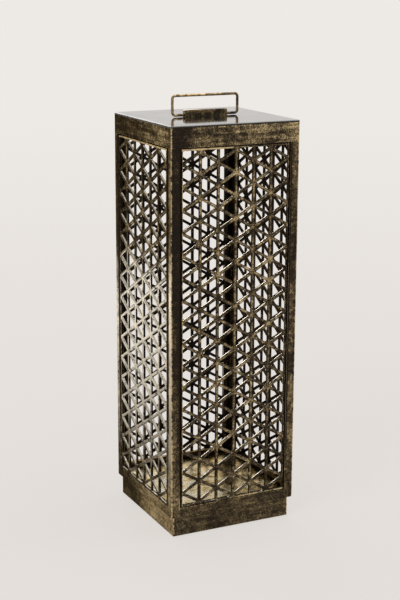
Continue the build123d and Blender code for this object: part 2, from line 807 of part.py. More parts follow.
# Push switch: sealed body on the board, and a button that slides in through the back wall.
flange_inner = half - cap_wall - flange_play - button_flange
switch_front = flange_inner - button_travel - flange_play
with BuildPart() as switch_body:
    with BuildSketch(Plane.XZ.offset(-switch_front)):
        with Locations((button_x, button_z)):
            Rectangle(switch_size, 2 * (driver_bottom - button_z))
            Circle(stem_radius + stem_play, mode=Mode.SUBTRACT)
    extrude(amount=switch_depth)
    with BuildSketch(Plane.XZ.offset(switch_depth - switch_front)):
        with Locations((button_x, button_z)):
            Rectangle(switch_size, 2 * (driver_bottom - button_z))
    extrude(amount=switch_floor)
write(switch_body.part, "switch_body")

with BuildPart() as switch_button:
    with BuildSketch(Plane.XZ.offset(-half)):
        with Locations((button_x, button_z)):
            Circle(button_radius)
    extrude(amount=cap_wall + flange_play)
    with BuildSketch(Plane.XZ.offset(cap_wall + flange_play - half)):
        with Locations((button_x, button_z)):
            Circle(button_flange_radius)
    extrude(amount=button_flange)
    with BuildSketch(Plane.XZ.offset(cap_wall + flange_play + button_flange - half)):
        with Locations((button_x, button_z)):
            Circle(stem_radius)
    extrude(amount=stem_length)
    chamfer(switch_button.edges().group_by(Axis.Y)[-1], button_bevel)
write(switch_button.part, "switch_button")

# Leads: pairs of insulated wires, up from the driver board, across under the lid and down again.
lead_z = lid_bottom - lead_drop
board_top = driver_bottom + board_thickness
spreader_top = spreader_bottom + spreader_thickness
led_routes = []
for x in led_leads_x:
    led_routes.append([
        (x, lead_y, board_top),
        (x, lead_y, lead_z),
        (x, lead_end_y, lead_z),
        (x, lead_end_y, spreader_top),
    ])
battery_routes = []
cradle_face = cradle_x - cradle_outer / 2
for direction in (-1, 1):
    for pair in (0, 1):
        x = direction * (battery_lead_x + pair * lead_space)
        y = battery_lead_y + pair * lead_space
        battery_routes.append([
            (direction * cradle_face, y, lead_z),
            (x, y, lead_z),
            (x, driver_y, lead_z),
            (x, driver_y, board_top),
        ])
for routes, name in ((led_routes, "led_leads"), (battery_routes, "battery_leads")):
    with BuildPart() as leads:
        for route in routes:
            with BuildLine() as run:
                FilletPolyline(*route, radius=lead_bend)
            with BuildSketch(Plane(run.line @ 0, z_dir=run.line % 0)):
                Circle(lead_radius)
            sweep(path=run.line)
    write(leads.part, name)
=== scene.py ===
import json
import math

import bmesh
import bpy
import numpy as np
from mathutils import Matrix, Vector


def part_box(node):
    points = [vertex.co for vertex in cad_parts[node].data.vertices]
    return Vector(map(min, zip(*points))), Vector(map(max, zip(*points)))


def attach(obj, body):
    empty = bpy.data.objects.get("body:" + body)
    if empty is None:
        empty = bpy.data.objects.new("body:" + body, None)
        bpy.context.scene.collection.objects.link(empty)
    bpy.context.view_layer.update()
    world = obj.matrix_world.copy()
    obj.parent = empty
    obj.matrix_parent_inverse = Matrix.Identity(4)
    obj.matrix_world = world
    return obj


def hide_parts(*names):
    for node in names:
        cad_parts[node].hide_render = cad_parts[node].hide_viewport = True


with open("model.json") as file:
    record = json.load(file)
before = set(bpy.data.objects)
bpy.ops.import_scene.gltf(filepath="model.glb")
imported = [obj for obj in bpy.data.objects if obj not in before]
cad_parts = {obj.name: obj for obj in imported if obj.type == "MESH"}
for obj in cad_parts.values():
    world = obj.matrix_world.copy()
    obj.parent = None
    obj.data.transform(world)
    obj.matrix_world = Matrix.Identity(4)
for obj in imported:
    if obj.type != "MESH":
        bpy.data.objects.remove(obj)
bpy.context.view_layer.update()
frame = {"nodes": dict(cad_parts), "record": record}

mm = 0.001
sideNames = ["front", "right", "back", "left"]
cornerNames = ["front_left", "front_right", "back_right", "back_left"]
print("frame: %d nodes" % len(frame["nodes"]))


# Surfaces: every helper works on whole arrays

def unit(vectors):
    return vectors / np.linalg.norm(vectors, axis=-1, keepdims=True)


def turned(points, quarter):
    # rotation about the Z axis by quarter turns
    angle = math.radians(90 * quarter)
    rotation = np.array([
        [math.cos(angle), -math.sin(angle), 0],
        [math.sin(angle), math.cos(angle), 0],
        [0, 0, 1],
    ])
    return points @ rotation.T


def turnBetween(before, after):
    # angle from one direction to the other, positive anticlockwise
    cross = before[..., 0] * after[..., 1] - before[..., 1] * after[..., 0]
    return np.arctan2(cross, (before * after).sum(-1))


def arcNormals(first, turn, steps):
    # unit vectors (cos a, sin a), a running evenly from the first one's angle through the turn
    share = np.linspace(0, 1, steps + 1)
    angle = np.arctan2(first[..., 1], first[..., 0])[..., None] + turn[..., None] * share
    return np.stack([np.cos(angle), np.sin(angle)], -1)


def gridFaces(rows, columns):
    # quads between neighbouring rows and columns; the last column joins the first
    row, column = np.meshgrid(np.arange(rows - 1), np.arange(columns), indexing="ij")
    after = (column + 1) % columns
    here, above = row * columns, (row + 1) * columns
    quads = [here + column, here + after, above + after, above + column]
    return np.stack(quads, -1).reshape(-1, 4)


def closedFaces(rows, columns):
    # the same quads, and a flat face over the first row and over the last
    faces = gridFaces(rows, columns).tolist()
    faces.append(list(range(columns))[::-1])
    faces.append(list(range((rows - 1) * columns, rows * columns)))
    return faces


def softOutline(corners, radius, hold, steps):
    # closed outline, corners in anticlockwise order. Each corner becomes an arc tangent to its
    # sides: centre = tangent point - sign * radius * normal, and the normal turns evenly from
    # one side's to the next. Holding points stand a little further out on each side, never past
    # four fifths of what is free.
    corner = np.asarray(corners, float)
    radius = np.broadcast_to(radius, len(corner)).astype(float)
    lengths = np.linalg.norm(np.roll(corner, -1, 0) - corner, axis=1)
    before = unit(corner - np.roll(corner, 1, 0))
    after = np.roll(before, -1, 0)
    turn = turnBetween(before, after)
    sign = np.sign(turn)
    tangent = radius * np.tan(np.abs(turn) / 2)
    free = np.minimum(lengths, np.roll(lengths, 1)) / 2 - tangent
    holding = tangent + np.minimum(hold, 0.8 * free)
    firstNormal = np.stack([before[:, 1], -before[:, 0]], 1)
    lastNormal = np.stack([after[:, 1], -after[:, 0]], 1)
    start = corner - before * tangent[:, None]
    centre = start - firstNormal * (sign * radius)[:, None]
    normal = arcNormals(firstNormal, turn, steps)
    arc = centre[:, None] + normal * (sign * radius)[:, None, None]
    first = (corner - before * holding[:, None])[:, None]
    last = (corner + after * holding[:, None])[:, None]
    points = np.concatenate([first, arc, last], 1)
    normals = np.concatenate([firstNormal[:, None], normal, lastNormal[:, None]], 1)
    wear = np.concatenate([np.zeros_like(first), np.ones_like(arc), np.zeros_like(last)], 1)
    wear = wear[..., 0] * sign[:, None]
    return points.reshape(-1, 2), normals.reshape(-1, 2), wear.reshape(-1)


def endRings(low, high, bevel, hold, steps):
    # rings of a prism from its lower end to its upper: inset = bevel * (1 - sin a),
    # height = end + bevel * (1 - cos a), then a holding ring; the upper end mirrors the lower
    angle = np.linspace(0, math.pi / 2, steps + 1)
    inset = np.concatenate([[bevel + hold], bevel * (1 - np.sin(angle)), [0]])
    rise = np.concatenate([[0], bevel * (1 - np.cos(angle)), [bevel + hold]])
    wear = np.concatenate([[0], np.ones(steps + 1), [0]])
    return (
        np.concatenate([inset, inset[::-1]]),
        np.concatenate([low + rise, high - rise[::-1]]),
        np.concatenate([wear, wear[::-1]]),
    )


def ringStack(outline, rings):
    # surface of two parameters, place round the outline and ring: point = outline - normal *
    # inset at the ring's height, closed by a flat face at both ends
    points, normals, wear = outline
    inset, height, ringWear = rings
    flat = points[None] - normals[None] * inset[:, None, None]
    tall = np.broadcast_to(height[:, None, None], flat.shape[:2] + (1,))
    stack = np.concatenate([flat, tall], -1)
    marks = np.where(wear[None] < 0, wear[None], np.maximum(wear[None], ringWear[:, None]))
    return stack.reshape(-1, 3), closedFaces(len(height), len(points)), marks.reshape(-1)


joining = {
    "weld": 0.002 * mm,      # points closer than this become one
    "sliver": 0.001 * mm,    # and edges shorter than this go
    "smoothAngle": 32,
}


def inScene(name, data):
    made = bpy.data.objects.new(name, data)
    bpy.context.scene.collection.objects.link(made)
    return made


def shownPiece(name, mesh, body, nodes):
    # puts a mesh into the scene in the place of the named nodes
    piece = inScene(name, mesh)
    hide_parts(*nodes)
    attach(piece, body)
    return piece


def makePiece(name, surfaces, material, body, nodes):
    # joins surfaces of (points, faces, wear) into one mesh and closes its seams. Wear is kept
    # as an attribute: 1 on outer edges, 0 on flats, -1 in folds and 2 on the walls of openings.
    points = np.concatenate([surface[0] for surface in surfaces])
    wear = np.concatenate([surface[2] for surface in surfaces])
    faces = []
    start = 0
    for surface in surfaces:
        faces.extend([[start + index for index in face] for face in surface[1]])
        start += len(surface[0])
    mesh = bpy.data.meshes.new(name)
    mesh.from_pydata(points.tolist(), [], faces)
    mesh.attributes.new("wear", "FLOAT", "POINT").data.foreach_set("value", wear)
    work = bmesh.new()
    work.from_mesh(mesh)
    bmesh.ops.remove_doubles(work, verts=work.verts, dist=joining["weld"])
    bmesh.ops.dissolve_degenerate(work, edges=work.edges, dist=joining["sliver"])
    bmesh.ops.recalc_face_normals(work, faces=work.faces)
    work.to_mesh(mesh)
    work.free()
    mesh.shade_smooth()
    mesh.set_sharp_from_angle(angle=math.radians(joining["smoothAngle"]))
    mesh.materials.append(material)
    return shownPiece(name, mesh, body, nodes)


def makeFour(prefix, places, ending, surfaces, material):
    # the same surfaces at each place, a quarter turn apart
    for quarter, place in enumerate(places):
        if place:
            placed = [(turned(points, quarter), faces, wear) for points, faces, wear in surfaces]
            name = prefix + place
            makePiece(name + ending, placed, material, "lantern", [name])


# Shader maths

class Level:
    # a node's output; sums, products and powers of Levels add Math nodes
    def __init__(self, graph, socket):
        self.graph = graph
        self.socket = socket

    def math(self, operation, first, second):
        return self.graph.node("ShaderNodeMath", {"operation": operation}, {0: first, 1: second})

    def __add__(self, other):
        return self.math("ADD", self, other)

    def __radd__(self, other):
        return self.math("ADD", other, self)

    def __sub__(self, other):
        return self.math("SUBTRACT", self, other)

    def __rsub__(self, other):
        return self.math("SUBTRACT", other, self)

    def __mul__(self, other):
        return self.math("MULTIPLY", self, other)

    def __rmul__(self, other):
        return self.math("MULTIPLY", other, self)

    def __pow__(self, other):
        return self.math("POWER", self, other)

    def __neg__(self):
        return self.math("MULTIPLY", self, -1)

    def __abs__(self):
        return self.math("ABSOLUTE", self, 0)

    def least(self, other):
        return self.math("MINIMUM", self, other)

    def most(self, other):
        return self.math("MAXIMUM", self, other)


def between(share, low, high):
    # low at 0, high at 1
    return low + (high - low) * share


class Graph:
    # the nodes of a material or of the world
    def __init__(self, owner):
        owner.use_nodes = True
        self.owner = owner
        self.tree = owner.node_tree
        self.tree.nodes.clear()

    def node(self, kind, settings=None, inputs=None, output=0):
        # a node with its properties, and its inputs set to a constant or linked to a Level
        made = self.tree.nodes.new(kind)
        for key, value in (settings or {}).items():
            if key == "stops":
                elements = made.color_ramp.elements
                while len(elements) < len(value):
                    elements.new(1)
                for element, (place, color) in zip(elements, value):
                    element.position = place
                    element.color = (*color, 1)
            else:
                setattr(made, key, value)
        for key, value in (inputs or {}).items():
            if isinstance(value, Level):
                self.tree.links.new(value.socket, made.inputs[key])
            else:
                made.inputs[key].default_value = value
        return Level(self, made.outputs[output]) if len(made.outputs) else None

    def place(self, stretch=(1, 1, 1)):
        # where a point lies on the object, in metres, times the stretch along each axis
        here = self.node("ShaderNodeTexCoord", output=3)
        return self.node("ShaderNodeMapping", {}, {"Vector": here, "Scale": stretch})

    def axes(self, vector):
        # x, y and z of a vector
        first = self.node("ShaderNodeSeparateXYZ", {}, {0: vector})
        return [Level(self, output) for output in first.socket.node.outputs]

    def facing(self):
        # the surface's own direction on the object
        return self.axes(self.node("ShaderNodeTexCoord", output=1))

    def sides(self):
        # 1 on faces turned to the front, and 1 on those turned to the left
        normalX, normalY = self.facing()[:2]
        return self.smooth(-normalY, 0.6, 0.9), self.smooth(-normalX, 0.6, 0.9)

    def noise(self, vector, size, detail=4, roughness=0.6, distortion=0.0):
        # size is that of one blotch, in metres
        return self.node("ShaderNodeTexNoise", {}, {
            "Vector": vector,
            "Scale": 1 / size,
            "Detail": detail,
            "Roughness": roughness,
            "Distortion": distortion,
        })

    def ramp(self, value, stops):
        # colour, between the stops that the value lies between
        return self.node("ShaderNodeValToRGB", {"stops": stops}, {0: value})

    def smooth(self, value, start, end):
        # 0 before the start, 1 past the end, an S-curve between; the end may be the lower one
        return self.node("ShaderNodeMapRange", {"interpolation_type": "SMOOTHSTEP"}, {
            "Value": value,
            "From Min": start,
            "From Max": end,
        })

    def near(self, value, edge, depths):
        # 0 at the first depth short of the edge, 1 at the second
        return self.smooth(value, edge - depths[0], edge - depths[1])

    def stretch(self, value, places):
        # 1 between the two middle places, easing to 0 at the outer two
        start, full, ending, end = places
        return self.smooth(value, end, ending) * self.smooth(value, start, full)

    def blend(self, share, first, second):
        # colour, from first at 0 to second at 1
        return self.node("ShaderNodeMix", {"data_type": "RGBA"}, {
            0: share,
            6: first if isinstance(first, Level) else (*first, 1),
            7: second if isinstance(second, Level) else (*second, 1),
        }, output=2)

    def wear(self):
        return self.node("ShaderNodeAttribute", {"attribute_name": "wear"}, output=2)

    def bump(self, height, depth, strength):
        # depth is the height's full range, in metres
        return self.node("ShaderNodeBump", {}, {
            "Height": height,
            "Distance": depth,
            "Strength": strength,
        })

    def finish(self, **sockets):
        # closes a material: constants and Levels on the shader's own sockets
        shader = self.node("ShaderNodeBsdfPrincipled", {}, {
            key: (*value, 1) if isinstance(value, tuple) and len(value) == 3 else value
            for key, value in sockets.items()
        })
        self.node("ShaderNodeOutputMaterial", {}, {"Surface": shader})
        return self.owner


def newMaterial(name):
    return Graph(bpy.data.materials.new(name))


# Metals

bodyPatina = {
    "tones": [
        (0.00, (0.020, 0.016, 0.013)),
        (0.28, (0.030, 0.023, 0.015)),
        (0.50, (0.094, 0.071, 0.040)),
        (0.70, (0.225, 0.170, 0.088)),
        (1.00, (0.600, 0.460, 0.255)),
    ],
    "level": 0.385,
    "clouds": (42 * mm, 0.9),       # size of a blotch, and how much it moves the tone
    "mottle": (6.5 * mm, 1.2),
    "grain": (1.5 * mm, 1.2),
    "streaks": (8 * mm, 0.8),
    "streakScale": (1, 1, 0.08),
    "outer": 100 * mm,              # how far out the show side lies
    "inside": 0.16,                 # painted shade: the tone falls by this behind the show side,
    "insideDepths": (0.4 * mm, 3.4 * mm),
    "gap": 0.40,                    # by this more in the gap, which lies this far behind it,
    "gapDepths": (0.2 * mm, 0.9 * mm, 6 * mm, 9 * mm),
    "fold": 0.35,                   # and the tone falls by this in folds
    "inner": 0.44,                  # painted light: it rises by this on faces turned inwards this far out,
    "innerPlaces": (50 * mm, 90 * mm),
    "rub": 0.60,                    # and as wear by this on the worn outer corners, these depths wide,
    "cornerDepths": (5 * mm, 2 * mm),
    "edgeRub": 0.14,                # and by this on other edges
    "cornerShade": 0.34,            # painted shade: it falls by this on the front, beside the near corner,
    "shadePlaces": (-62 * mm, -84 * mm),
    "shadeHeights": (40 * mm, 420 * mm),
    "shadeShares": (-0.6, 1.0),     # by these shares of it at the foot and at the top
    "cornerGold": 0.30,             # and a painted sheen rises by up to half of this on the left, beside it
    "goldPlaces": (85 * mm, -40 * mm),
    "rightShade": 0.0,              # painted shade: it falls by this on the front's right part
    "rightPlaces": (-50 * mm, 0.0),
    "leftLevel": 0.08,              # painted light: it rises by this on the left side
    "lowGold": 0.32,                # and by this more on its lower part, as a painted sheen
    "lowHeights": (20 * mm, 170 * mm, 360 * mm, 430 * mm),
    "pewter": (0.44, 0.415, 0.36),  # the grey of that painted sheen
    "pewterShare": 0.55,
    "soot": 0.95,                   # painted shade: it falls by this in a line along the panel, where its gap lies
    "leftSoot": (92.0 * mm, 90.6 * mm),
    "frontSoot": (89.2 * mm, 88.2 * mm),
    "sootHeights": (60 * mm, 220 * mm),
    "ledgeGold": 0.0,               # and a painted highlight rises by this along the top of the back rail's ledge
    "ledgeDepths": (2.0 * mm, 1.4 * mm),
    "ledgePlaces": (80 * mm, 90 * mm),
    "rust": (0.085, 0.040, 0.022),
    "rustSize": 2.2 * mm,
    "rustShare": 0.6,
    "rustTones": (0.55, 0.25),      # rust shows where the metal is this dark
    "roughness": (0.20, 0.36),
    "relief": 0.05 * mm,
    "grazing": (0.5, 0.48, 0.45),   # an oxide film mirrors less at a flat angle than bare metal
}


def startTone(look, noises):
    # tone = level + sum of gain * (noise - 0.5)
    tone = look["level"]
    for pattern, noise in noises.items():
        tone += look[pattern][1] * (noise - 0.5)
    return tone


def patinaStart(name, look):
    # the noises of every patina, and the tone they start
    g = newMaterial(name)
    here = g.place()
    cloud = g.noise(here, look["clouds"][0], 3, 0.5)
    mottle = g.noise(here, look["mottle"][0], 5, 0.62, 0.4)
    grain = g.noise(here, look["grain"][0], 2, 0.6)
    tone = startTone(look, {"clouds": cloud, "mottle": mottle, "grain": grain})
    return g, here, mottle, grain, tone


def hiddenShade(g, look, reach):
    # painted shade: how much the tone falls behind the show side, and in the gap just behind it
    behind = g.near(reach, look["outer"], look["insideDepths"])
    gap = g.stretch(reach, [look["outer"] - depth for depth in look["gapDepths"][::-1]])
    return look["inside"] * behind + look["gap"] * gap


def patinaColor(g, look, tone, lowLeft):
    # the tones' colours, turned to the grey of a painted sheen low on the left side where they are
    # light
    share = look["pewterShare"] * lowLeft * g.smooth(tone, 0.25, 0.6)
    return g.blend(share, g.ramp(tone, look["tones"]), look["pewter"])


def rusted(g, look, here, tone, color):
    # specks of rust on dark metal
    speck = g.noise(here, look["rustSize"], 3, 0.6)
    rusty = g.smooth(speck, 0.56, 0.68) * g.smooth(tone, *look["rustTones"])
    return g.blend(look["rustShare"] * rusty, color, look["rust"])


def patinaFinish(g, look, mottle, grain, color, metallic=1.0, polish=1.0):
    # light patches are smoother: roughness falls as 0.6 * mottle + 0.4 * grain rises
    dull = g.smooth(mottle * 0.6 + grain * 0.4, 0.62, 0.38)
    return g.finish(**{
        "Base Color": color,
        "Metallic": metallic,
        "Roughness": between(dull, *look["roughness"]) * polish,
        "Specular Tint": look["grazing"],
        "Normal": g.bump(grain * 0.5 + mottle * 0.5, look["relief"], 0.6),
    })


def patinaMetal(name, look):
    # tone = patinaStart's and streaks; lower behind the show side as painted shade and in folds,
    # higher on worn edges, with painted light and shade on inward faces, the front, the left side
    # and the back rail's ledge. A ramp turns tone into colour, from black oxide over brown and
    # olive to rubbed metal.
    g, here, mottle, grain, tone = patinaStart(name, look)
    x, y, z = g.axes(here)
    farX, farY = abs(x), abs(y)
    normalX, normalY = g.facing()[:2]
    front, left = g.sides()
    wear = g.wear()
    streak = g.noise(g.place(look["streakScale"]), look["streaks"][0], 3, 0.65)
    tone += look["streaks"][1] * (streak - 0.5)
    corner = g.near(farX.least(farY), look["outer"], look["cornerDepths"])
    edge = g.smooth(wear, 0.3, 0.9) * g.smooth(mottle, 0.36, 0.52)
    tone += edge * between(corner, look["edgeRub"], look["rub"])
    tone -= hiddenShade(g, look, farX.most(farY))
    # painted light on faces turned inwards, and darker folds
    inwards = g.smooth(-(x * normalX + y * normalY), *look["innerPlaces"])
    tone += look["inner"] * inwards - look["fold"] * g.smooth(wear, -0.1, -0.9)
    # painted shade on the front beside the near corner, lighter at its foot, and a painted sheen on
    # the left side near it that darkens towards the far end
    rising = between(g.smooth(z, *look["shadeHeights"]), *look["shadeShares"])
    beside = g.smooth(x, *look["shadePlaces"]) * rising
    gilded = g.smooth(y, *look["goldPlaces"]) - 0.5
    tone = tone - look["cornerShade"] * front * beside + look["cornerGold"] * left * gilded
    # painted light on the left side, more on its lower part
    lowLeft = left * g.stretch(z, look["lowHeights"])
    tone += look["leftLevel"] * left + look["lowGold"] * lowLeft
    # painted shade on the front's right part
    tone -= look["rightShade"] * front * g.smooth(x, *look["rightPlaces"])
    # painted shade lies in a line along the panels' gaps, more towards the top
    line = left * g.smooth(farY, *look["leftSoot"])
    line = line + front * g.smooth(farX, *look["frontSoot"])
    tone -= look["soot"] * line * g.smooth(z, *look["sootHeights"])
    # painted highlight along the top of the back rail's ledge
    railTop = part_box("bottom_rail_back")[1].z
    ledge = g.near(z, railTop, look["ledgeDepths"])
    tone += look["ledgeGold"] * ledge * g.smooth(y, *look["ledgePlaces"])
    color = rusted(g, look, here, tone, patinaColor(g, look, tone, lowLeft))
    return patinaFinish(g, look, mottle, grain, color)


def latticeMetal(name, look):
    # the show side is patina, darkest along the bars' edges, with painted light and shade; the cut
    # walls of the openings carry a painted highlight where they face up on the front and left
    # panels and painted shade elsewhere, and are smoother. wear runs from 0 in a bar's middle over
    # 1 at its edge to 2 on the wall.
    g, here, mottle, grain, tone = patinaStart(name, look)
    x, y, z = g.axes(here)
    farX, farY = abs(x), abs(y)
    normalZ = g.facing()[2]
    front, left = g.sides()
    wear = g.wear()
    tone -= hiddenShade(g, look, farX.most(farY))
    edgeDark = between(left, look["edgeDark"], look["leftEdgeDark"])
    tone -= edgeDark * g.smooth(wear, 0.25, 1.0)
    # painted light on the left side, more on its lower part
    lowLeft = left * g.stretch(z, look["lowHeights"])
    tone += look["lowGold"] * lowLeft + look["leftLevel"] * left
    # the front is golden along its middle, and darker at its foot as painted shade
    middle = g.smooth(farX, *look["middlePlaces"]) - 0.4
    tone += look["middleGold"] * front * middle
    tone -= look["footShade"] * front * g.smooth(z, *look["footHeights"])
    # borders carry painted highlights: the front's top one towards the left, its bottom one towards
    # the right
    low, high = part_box("lattice_panel_front")
    topBorder = g.near(z, high.z, look["endDepths"])
    bottomBorder = g.near(-z, -low.z, look["endDepths"])
    over = topBorder * g.smooth(x, *look["overPlaces"])
    under = bottomBorder * g.smooth(x, *look["underPlaces"])
    tone += front * (look["overGold"] * over + look["underGold"] * under)
    # painted highlights on the front's left border and on the left panel's top border
    beside = g.near(-x, high.x, look["sideDepths"])
    tone += look["sideGold"] * front * beside
    tone += look["leftTopGold"] * left * topBorder
    # painted shade in a strip along the left panel's sides
    sooty = g.near(farY, high.x, look["sootDepths"])
    tone -= look["soot"] * left * sooty
    color = patinaColor(g, look, tone, lowLeft)
    # painted highlight on walls that face up on the front and left panels, weaker at the front's
    # foot; painted shade on all other walls
    rising = between(g.smooth(z, *look["paleHeights"]), *look["paleShares"])
    onFront = g.near(-y, look["outer"], look["wallDepths"]) * rising
    onLeft = g.near(-x, look["outer"], look["wallDepths"])
    upward = g.smooth(normalZ, 0.2, 0.6)
    pale = g.smooth(mottle * 0.5 + grain * 0.5, 0.28, 0.46) * (onFront + onLeft) * upward
    cut = g.smooth(wear, 1.2, 1.8)
    color = g.blend(cut, color, g.blend(pale, look["cutDark"], look["cutPale"]))
    color = rusted(g, look, here, tone, color)
    chalky = 1 - look["chalk"] * cut * pale * onLeft
    polish = 1 - look["cutPolish"] * cut
    return patinaFinish(g, look, mottle, grain, color, chalky, polish)


def variant(settings, **changes):
    return {**settings, **changes}


levelPatina = variant(
    bodyPatina,
    level=0.56,
    leftLevel=-0.23,
    lowGold=0.22,
    soot=0,
    mottle=(6.5 * mm, 1.0),
    grain=(1.5 * mm, 1.6),
    streakScale=(0.08, 0.08, 1),
    streaks=(6 * mm, 1.4),
    cornerShade=0.32,
    cornerGold=0.40,
)
railPatina = variant(
    levelPatina,
    level=0.435,
    leftLevel=0.08,
    rightShade=0.07,
    ledgeGold=1.2,
    clouds=(42 * mm, 0.8),
    mottle=(6.5 * mm, 0.8),
    grain=(1.5 * mm, 1.2),
    streaks=(7 * mm, 0.6),
    cornerShade=0,
)
plinthPatina = variant(railPatina, outer=95 * mm, cornerGold=0.55)
latticePatina = variant(
    bodyPatina,
    level=0.51,
    inside=0.40,
    lowGold=0.30,
    leftLevel=-0.12,
    pewterShare=0.80,
    clouds=(34 * mm, 1.2),
    mottle=(7 * mm, 1.9),
    grain=(1.5 * mm, 1.4),
    edgeDark=0.24,                  # the tone falls by this along a bar's edges
    leftEdgeDark=0.06,              # and by this on the left side
    middleGold=0.10,
    middlePlaces=(75 * mm, 15 * mm),
    footShade=0.08,
    footHeights=(135 * mm, 85 * mm),
    endDepths=(2.8 * mm, 2.2 * mm),     # how far in the top and bottom borders reach
    # painted highlights on the borders
    overGold=0.70,
    overPlaces=(15 * mm, -30 * mm),
    underGold=0.55,
    underPlaces=(-10 * mm, 30 * mm),
    leftTopGold=0.6,
    sideDepths=(1.8 * mm, 1.3 * mm),    # and the front's left border
    sideGold=0.3,
    sootDepths=(1.3 * mm, 0.7 * mm),    # a strip along the left panel's sides lies in painted shade
    soot=0.25,
    wallDepths=(8 * mm, 5 * mm),        # how far behind the show side a wall may lie
    paleHeights=(60 * mm, 420 * mm),
    paleShares=(0.65, 1.0),             # how strong the painted highlight on the front's walls is at its foot and top
    cutDark=(0.018, 0.014, 0.010),
    cutPale=(0.93, 0.86, 0.72),
    chalk=0.85,                         # how far a wall with the painted highlight on the left stops being metallic
    cutPolish=0.45,                     # how much smoother the walls are
    rustShare=0.45,
    rustTones=(0.60, 0.30),
    roughness=(0.16, 0.30),
)
lidPatina = {
    "dark": (0.225, 0.230, 0.235),
    "pale": (0.320, 0.325, 0.330),
    "edge": (0.035, 0.031, 0.026),
    "clouds": 45 * mm,
    "wipes": 30 * mm,
    "wipeScale": (1, 9, 1),
    "grain": 1.2 * mm,
    "roughness": (0.05, 0.12),
    "edgeRoughness": 0.2,
    "relief": 0.004 * mm,
}


def lidMetal(name, look):
    # dark patina polished to a mirror: faint clouds, wiping marks in the gloss, darker edge
    g = newMaterial(name)
    here = g.place()
    cloud = g.noise(here, look["clouds"], 4, 0.55)
    wipe = g.noise(g.place(look["wipeScale"]), look["wipes"], 4, 0.6)
    grain = g.noise(here, look["grain"], 3, 0.6)
    side = g.smooth(g.facing()[2], 0.95, 0.6)
    color = g.blend(g.smooth(cloud, 0.36, 0.62), look["dark"], look["pale"])
    rough = between(g.smooth(wipe, 0.38, 0.66), *look["roughness"])
    return g.finish(**{
        "Base Color": g.blend(side, color, look["edge"]),
        "Metallic": 1.0,
        "Roughness": rough + look["edgeRoughness"] * side,
        "Normal": g.bump(grain, look["relief"], 0.5),
    })


handlePatina = {
    "tones": [
        (0.2, (0.030, 0.024, 0.016)),
        (0.5, (0.16, 0.115, 0.060)),
        (0.9, (0.62, 0.46, 0.25)),
    ],
    "level": 0.33,
    "mottle": (7 * mm, 1.3),        # size of a blotch, and how much it moves the tone
    "grain": (1.3 * mm, 0.8),
    "blotches": (16 * mm, 1.2),
    "leftGold": 0.22,               # the tone rises by this towards the left
    "leftPlaces": (5 * mm, -50 * mm),
    "edgeGold": 0.15,               # and by this where it is worn
    "roughness": (0.14, 0.30),
    "relief": 0.04 * mm,
}


def handleMetal(name, look):
    # tone from mottle, grain and blotches, and more towards the left and where fingers reach
    g = newMaterial(name)
    here = g.place()
    mottle = g.noise(here, look["mottle"][0], 5, 0.65, 0.3)
    grain = g.noise(here, look["grain"][0], 3, 0.6)
    blotch = g.noise(here, look["blotches"][0], 3, 0.5)
    tone = startTone(look, {"mottle": mottle, "grain": grain, "blotches": blotch})
    tone += look["leftGold"] * g.smooth(g.axes(here)[0], *look["leftPlaces"])
    tone += look["edgeGold"] * g.smooth(g.wear(), 0.2, 0.9)
    return g.finish(**{
        "Base Color": g.ramp(tone, look["tones"]),
        "Metallic": 1.0,
        "Roughness": between(g.smooth(mottle, 0.62, 0.38), *look["roughness"]),
        "Normal": g.bump(grain * 0.5 + mottle * 0.5, look["relief"], 0.5),
    })


metals = {
    "upright": patinaMetal("patina_upright", bodyPatina),
    "level": patinaMetal("patina_level", levelPatina),
    "rail": patinaMetal("patina_rail", railPatina),
    "plinth": patinaMetal("patina_plinth", plinthPatina),
    "lattice": latticeMetal("patina_lattice", latticePatina),
    "lid": lidMetal("polished_patina", lidPatina),
    "handle": handleMetal("patina_handle", handlePatina),
}
print("metals: %d" % len(metals))


# Lattice panels. Everything is laid out on one side, front out, and turned to the others.

panel = {
    "sideBorder": 1.4 * mm,  # upright edges
    "endBorder": 2.5 * mm,   # top and bottom edges
    "bar": 4.3 * mm,
    "slant": math.radians(30),
    "columns": 6,
    "edge": 0.25 * mm,       # softened edge of a bar
    "corner": 0.7 * mm,      # radius in the corner of an opening
    "cornerSteps": 2,
    "outerEdge": 0.55 * mm,
    "outerEdgeSteps": 3,
}


def panelLayout():
    # worked out from the panel's size: pitch of the columns, node = distance of the lattice's
    # nodes up a column, rows of nodes above the middle, middle line of the border
    low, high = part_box("lattice_panel_front")
    pitch = (high.x - low.x - panel["sideBorder"]) / panel["columns"]
    node = 2 * pitch * math.tan(panel["slant"])
    edgeZ = (high.z - low.z - panel["endBorder"]) / 2
    half = panel["columns"] // 2
    return {
        "pitch": pitch,
        "node": node,
        "rows": int(edgeZ / node),
        "columns": np.arange(-half, half + 1),
        "edgeX": half * pitch,
        "edgeZ": edgeZ,
        "middle": (high.z + low.z) / 2,
        "depths": (low.y, high.y),
    }


def insetCorners(cell, insets):
    # cell is (n, m, 2), anticlockwise; side i runs from corner i to the next. Each side moves
    # inwards by its inset, and a new corner is where two neighbouring sides then meet.
    along = unit(np.roll(cell, -1, 1) - cell)
    inward = np.stack([-along[..., 1], along[..., 0]], -1)
    offset = (inward * cell).sum(-1) + insets
    inwardBefore = np.roll(inward, 1, 1)
    offsetBefore = np.roll(offset, 1, 1)
    cross = inwardBefore[..., 0] * inward[..., 1] - inwardBefore[..., 1] * inward[..., 0]
    x = (offsetBefore * inward[..., 1] - offset * inwardBefore[..., 1]) / cross
    y = (inwardBefore[..., 0] * offset - inward[..., 0] * offsetBefore) / cross
    return np.stack([x, y], -1)


